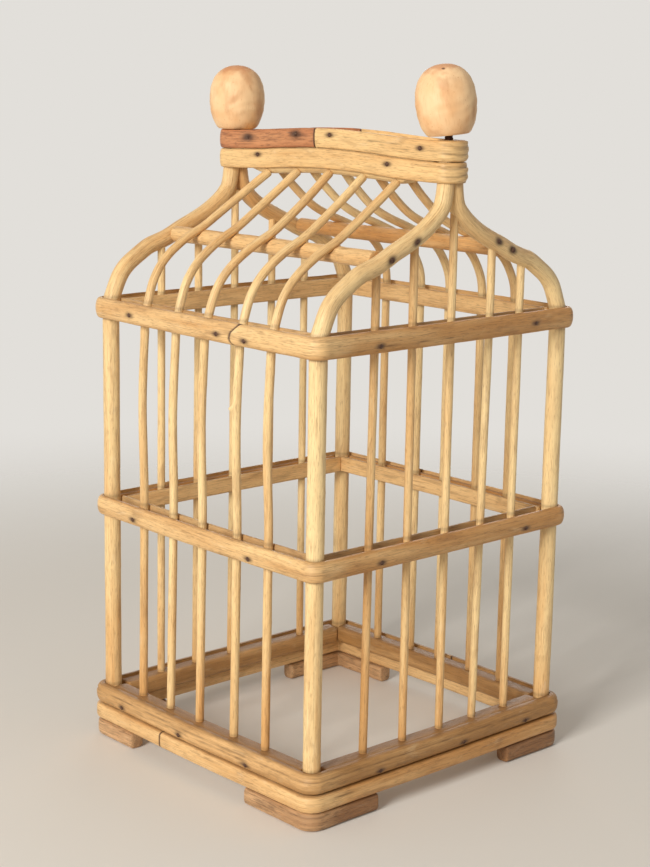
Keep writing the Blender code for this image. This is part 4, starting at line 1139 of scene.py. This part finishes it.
# %% Ridge bands
front_joint, back_joint = (1 - 0.09) / 2, 2 + (1 - 0.12) / 2
for name, bottom, start, end, material, low, splits in (
        ("ridge_band_lower", RIDGE_BOTTOM, back_joint, back_joint + 4, cane, 0.10,
         ((262, 345, 3.8, 2.6), (330, 372, 1.0, 0.4), (352, 392, -1.6, -1.9), (350, 395, 3.0, 2.4))),
        ("ridge_band_upper_right", UPPER_BAND_BOTTOM, front_joint, back_joint, cane, 0.05,
         ((10, 74, 3.0, -1.5), (36, 96, 1.6, 2.4), (60, 112, -2.6, -1.4), (72, 118, 0.3, 0.6))),
        ("ridge_band_upper_left", UPPER_BAND_BOTTOM, back_joint, front_joint + 4, rosy, 0.45,
         ((150, 200, -1.0, -0.4), (120, 170, 2.8, 2.2)))):
    section = cane_section(BAND_THICKNESS, RIDGE_BAND_HEIGHT, next(seeds), 0.12)
    hoop_piece(name, section, band_line(bottom, start, end), material, low, splits, folds,
               step=0.5 * MM, around=56)
print("with the ridge:", len(made))

# %% [markdown]
# ## Finials
# Two egg-shaped knobs, turned from pale wood and sanded by hand; a screw holds each to the
# ridge. A ball pulled long could stand in, but has no flat foot and no screw hole. So the
# outline, measured from foot to crown, is spun about its axis, as on the lathe that made it,
# and its radius is waved by a few shallow facets.

# %% Measures of the finials and screws
FINIAL_OUTLINE = np.array((
    (0.66, 0.0), (0.75, 0.04), (0.86, 0.13), (0.95, 0.26), (0.99, 0.39), (1.0, 0.52),
    (0.96, 0.65), (0.87, 0.77), (0.72, 0.87), (0.52, 0.94), (0.27, 0.985), (0.0, 1.0)))
FINIAL_DIAMETER, FINIAL_HEIGHT = 30.8 * MM, 34.6 * MM
LEAN, LEAN_TOWARDS = math.radians(6.5), math.radians(227.5)
PITH = np.array((3.4, -8.7, 32.1)) * MM
SCREW_RADIUS, SCREW_GROOVE, SCREW_PITCH = 2.15 * MM, 0.35 * MM, 1.6 * MM
SCREW_BITE, SCREW_TOP = -8.9 * MM, 15.6 * MM
print("a screw is", round((SCREW_TOP - SCREW_BITE) / MM, 1), "mm long")

# %% Where a finial stands
def stand(x, x_sense, lean, raised):
    """Where a finial stands and which way its axis leans."""
    lift = GAP + FINIAL_DIAMETER / 2 * FINIAL_OUTLINE[0, 0] * math.sin(lean) + raised
    place = Vector((x, 0.0, RIDGE_TOP + float(ridge_lift(x_sense * HALF_LENGTH)) + lift))
    axis = Vector((math.cos(LEAN_TOWARDS) * math.sin(lean), math.sin(LEAN_TOWARDS) * math.sin(lean),
                   math.cos(lean)))
    return Matrix.Translation(place) @ axis.to_track_quat("Z", "Y").to_matrix().to_4x4()


def moved(points, matrix):
    """Points carried by a matrix."""
    matrix = np.array(matrix)
    return points @ matrix[:3, :3].T + matrix[:3, 3]


upright = stand(0.0, 1, 0.0, 0.0)
print("foot of an upright finial:", round(moved(np.zeros((1, 3)), upright)[0, 2] / MM, 1), "mm up")

# %% Turned wood finish
def turned_wood(name, pale, warm, dark, rubbed):
    """Pale close-grained wood: a slow blush, fine lines, a few specks, and a darker crown, partly wear
    and partly painted shade.
    """
    recipe = Recipe(name, roughness=0.55)
    grain, worn, stain = recipe.stored("grain", "Vector"), recipe.stored("tone"), recipe.stored("stain")
    blush = recipe.noise(grain, (60.0, 70.0, 70.0), 2.0)
    lines = recipe.noise(grain, (110.0, 900.0, 900.0), 3.0, 0.3)
    ageing = recipe.noise(grain, (60.0, 110.0, 110.0), 4.0, 0.3)
    specks = recipe.noise(grain, (700.0, 1200.0, 1200.0), 1.0)
    mottle = recipe.noise(grain, (230.0, 230.0, 230.0), 2.0)
    colour = recipe.blend(recipe.between(blush, 0.3, 0.7), pale, warm)
    for amount, over in (
            (recipe.between(ageing, 0.46, 0.76) * 0.5, dark),
            (recipe.between(lines, 0.5, 0.8) * 0.2, dark),
            (recipe.between(specks, 0.70, 0.78) * 0.4, dark),
            # The crown is darkened: partly wear, partly painted shade.
            (recipe.between(worn + (mottle - 0.5) * 1.2, 0.3, 1.0) * 0.7, rubbed),
            (recipe.between(stain, 0.2, 0.8) * 0.9, tint(96, 58, 34))):
        colour = recipe.blend(amount, colour, over)
    recipe.feed("Base Color", colour)
    recipe.feed("Roughness", 0.55 + recipe.between(lines, 0.4, 0.8) * 0.14)
    recipe.bump(lines * 0.3 + mottle * 0.4, 0.15 * MM, 0.3)
    return recipe.material


peach = turned_wood("turned_wood", tint(253, 216, 168), tint(240, 188, 134), tint(186, 122, 74),
                    tint(208, 138, 92))
print("made:", peach.name)

# %% [markdown]
# ## Iron
# Old nails and screws are dark brown iron, rusty in the hollows and bare where they rub.
# Plain black would read as paint; patches of noise mix dull rust with a smoother metal.

# %% Iron finish
def old_iron(name):
    """Dark metal under a patchy skin of rust; the bare places are smoother."""
    recipe = Recipe(name)
    place = recipe.add("ShaderNodeTexCoord").outputs["Object"]
    patches = recipe.noise(place, (900.0, 900.0, 900.0), 3.0)
    rust = recipe.between(patches, 0.4, 0.62)
    recipe.feed("Base Color", recipe.blend(rust, tint(98, 72, 56), tint(70, 44, 32)))
    recipe.feed("Roughness", 0.6 + rust * 0.25)
    recipe.feed("Metallic", 0.35 - rust * 0.3)
    recipe.bump(patches, 0.1 * MM)
    return recipe.material


iron = old_iron("dark_iron")
print("made:", iron.name)

# %% One finial
def dents(height, angle):
    """Shallow facets left by the sanding hand: a product of two sines whose phases wander."""
    return (np.sin(7 * angle + 3 * np.sin(height / (4 * MM)))
            * np.sin(height / (1.5 * MM) + 2 * np.sin(3 * angle)))


def finial_piece(name, matrix, body, seed, pith):
    """The egg, from the screw hole out round its base and up to its crown."""
    egg = smooth_line(np.column_stack([FINIAL_OUTLINE, np.zeros(len(FINIAL_OUTLINE))]), 90)[:-1, :2]
    egg = egg * (FINIAL_DIAMETER / 2, FINIAL_HEIGHT * 0.997)
    hollow = np.array([(0.3, 16.2), (2.6, 16.2), (2.6, 0.3), (2.9, 0.0), (6.0, 0.0), (9.6, 0.0)]) * MM
    radius, height = np.vstack([hollow, egg]).T[..., None]
    angle = circle(96)
    uneven = waves(seed, height, angle, 40 * MM, 4) + 2.4 * dents(height, angle)
    rows = spun(radius * (0.986 + 0.004 * uneven), height, angle)
    points, quads, fans = skin(rows[::-1])
    grain = points[:, [2, 0, 1]] + (seed * GRAIN_SHIFT, 0, 0)
    # The crown is painted darker towards its top: partly wear, partly painted shade.
    worn = np.clip((points[:, 2] / FINIAL_HEIGHT - 0.80) / 0.16, 0, 1)
    points = moved(points, matrix)
    away = points - np.array(matrix.translation) - PITH
    stain = np.exp(-(np.linalg.norm(away, axis=1) / (1.0 * MM)) ** 2) * pith
    dress(name, (points, quads, fans), grain, worn, stain, peach, body)


print("outline points:", len(FINIAL_OUTLINE))

# %% One screw
def screw_piece(name, matrix):
    """A threaded rod: the radius dips with the height less the turn, a helix of even pitch."""
    height = np.linspace(SCREW_BITE, SCREW_TOP, 240)[:, None]
    angle = circle(40)
    phase = height / SCREW_PITCH - angle / (2 * np.pi)
    dip = SCREW_GROOVE * np.abs(2 * (phase - np.floor(phase)) - 1)
    tip = np.clip((height - SCREW_BITE) / (4 * MM), 0.12, 1)
    shoulder = np.clip((SCREW_TOP - height) / (0.5 * MM), 0.4, 1)
    rows = spun((SCREW_RADIUS - dip) * tip * shoulder, height, angle)
    points, quads, fans = skin(rows[::-1])
    dress(name, (moved(points, matrix), quads, fans), points, 0.0, 0.0, iron)


print("turns of thread:", round((SCREW_TOP - SCREW_BITE) / SCREW_PITCH))

# %% Finials and their screws
for side, x_sense, inset, lean, raised, pith in (
        ("left", -1, 1.0 * MM, 0.0, 0.0, 0.0), ("right", 1, 2.0 * MM, LEAN, 1.1 * MM, 1.0)):
    matrix = stand(x_sense * (HALF_LENGTH - inset), x_sense, lean, raised)
    finial_piece("finial_" + side, matrix, side + "_finial", next(seeds), pith)
    screw_piece("finial_screw_" + side, matrix)
print("finials done:", len(made))

# %% One nail, and a group of them
def nail_rows(place, outward, seed):
    """A low dome on a short shank: its outline spun, then turned to face outwards."""
    radius = 1.02 * MM * np.random.default_rng(seed).uniform(0.9, 1.12)
    outline = np.array([(0.1, -2.0), (0.5, -1.9), (0.5, -0.3), (1.0, -0.25), (1.04, 0.0),
                        (0.9, 0.16), (0.5, 0.27), (0.08, 0.3)])
    rows = spun(outline[:, :1] * radius, outline[:, 1:] * MM, circle(18))
    turn = Vector(outward).to_track_quat("Z", "Y").to_matrix().to_4x4()
    return moved(rows[::-1], Matrix.Translation(Vector(place)) @ turn)


def nail_group(name, group):
    """All nails of one piece as one mesh."""
    shells = [skin(nail_rows(place, outward, 40 + number))
              for number, (place, outward, _) in enumerate(group)]
    shift = np.cumsum([0] + [len(points) for points, _, _ in shells])
    points = np.vstack([shell[0] for shell in shells])
    quads, fans = (np.vstack([shell[part] + shift[k] for k, shell in enumerate(shells)])
                   for part in (1, 2))
    finish_piece(name, put_mesh(name, points, quads, fans), points, 0.0, 0.0, iron, [])


print("rows and points of a nail:", nail_rows(np.zeros(3), FRONT.outward, 1).shape[:2])

# %% Nail heads
for owner, group in nails.items():
    nail_group(owner + "_nails", group)
print("all made:", len(made))

# %% [markdown]
# ## Pieces that keep their solids
# The nails in the purlins are already round-headed and only 2 mm across. A finer skin would
# not show, so they keep the packed solid and only get the iron finish.

# %% Carried-over solids
for name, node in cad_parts.items():
    if node.hide_render:
        continue
    node.data.materials.clear()
    node.data.materials.append(iron)
    print("keeps its solid:", name)

# %% [markdown]
# ## The table and the light
# A plain pale floor fades into a plain pale background. A sheet curved up behind could do
# that, but shows its bend from the side, so the floor turns clear away from the cage. One
# large soft lamp stands to the left of the camera, weaker ones above and behind, and the sky
# round the cage fills the shadows.

# %% Floor
FLOOR_LEVEL = -0.05 * MM


def disc(radius, rings, around):
    """A flat disc: rows of points at growing radii round its middle."""
    rows = spun(np.linspace(0.02, 1, rings)[:, None] * radius, FLOOR_LEVEL, circle(around))
    points = np.vstack([rows.reshape(-1, 3), [[0, 0, FLOOR_LEVEL]]])
    here = np.arange(around)
    middle = np.stack([np.full(around, rings * around), here, (here + 1) % around], 1)
    return put_mesh("floor", points, grid_quads(rings, around), middle)


def floor_finish():
    """Matt and pale; away from the cage it turns clear, so the background takes over."""
    recipe = Recipe("pale_floor", roughness=0.9)
    recipe.feed("Base Color", tint(232, 229, 224))
    place = recipe.add("ShaderNodeTexCoord").outputs["Object"]
    far = recipe.add("ShaderNodeVectorMath", {0: place}, operation="LENGTH").outputs["Value"]
    clear = recipe.add("ShaderNodeBsdfTransparent").outputs[0]
    both = recipe.add("ShaderNodeMixShader", {
        0: recipe.between(far, 0.3, 0.9), 1: recipe.shader.outputs[0], 2: clear})
    recipe.join(both.outputs[0], recipe.nodes["Material Output"].inputs["Surface"])
    return recipe.material


floor = bpy.data.objects.new("floor", disc(2.0, 60, 96))
floor.data.materials.append(floor_finish())
bpy.context.scene.collection.objects.link(floor)
print("floor faces:", len(floor.data.polygons))

# %% Lamps
def soft_lamp(name, place, size, power, colour):
    """A square lamp that looks at the middle of the cage."""
    data = bpy.data.lights.new(name, "AREA")
    data.size, data.energy, data.color = size, power, colour
    lamp = bpy.data.objects.new(name, data)
    lamp.location = place
    lamp.rotation_euler = (Vector((0, 0, 0.18)) - Vector(place)).to_track_quat("-Z", "Y").to_euler()
    bpy.context.scene.collection.objects.link(lamp)


soft_lamp("left_lamp", (0.52, -1.97, 1.00), 0.75, 42.0, (1.0, 0.95, 0.88))
soft_lamp("top_lamp", (0.2, 0.2, 1.6), 0.8, 1.0, (1.0, 1.0, 1.0))
soft_lamp("back_lamp", (-1.5, 1.6, 0.6), 0.9, 6.0, (1.0, 0.96, 0.90))
print("lamps:", len(bpy.data.lights))

# %% World
world = bpy.data.worlds.new("studio")
bpy.context.scene.world = world
world.use_nodes = True
world.node_tree.nodes.clear()
sky = Graph(world.node_tree)
ray = sky.add("ShaderNodeLightPath").outputs
seen = sky.add("ShaderNodeMath", {0: ray["Is Camera Ray"], 1: ray["Is Glossy Ray"]}, operation="ADD")
light = sky.add("ShaderNodeBackground", {"Color": (1.0, 0.94, 0.85, 1.0), "Strength": 0.33})
backdrop = sky.add("ShaderNodeBackground", {"Color": tint(226, 223, 218)})
both = sky.add("ShaderNodeMixShader", {
    0: seen.outputs[0], 1: light.outputs[0], 2: backdrop.outputs[0]})
sky.add("ShaderNodeOutputWorld", {"Surface": both.outputs[0]})
bpy.context.scene.view_settings.view_transform = "Standard"
print("sky nodes:", len(sky.nodes))

# %% Sizes, and the last line
print("triangles:", sum(len(piece.data.polygons) * 2 for piece in made.values()))
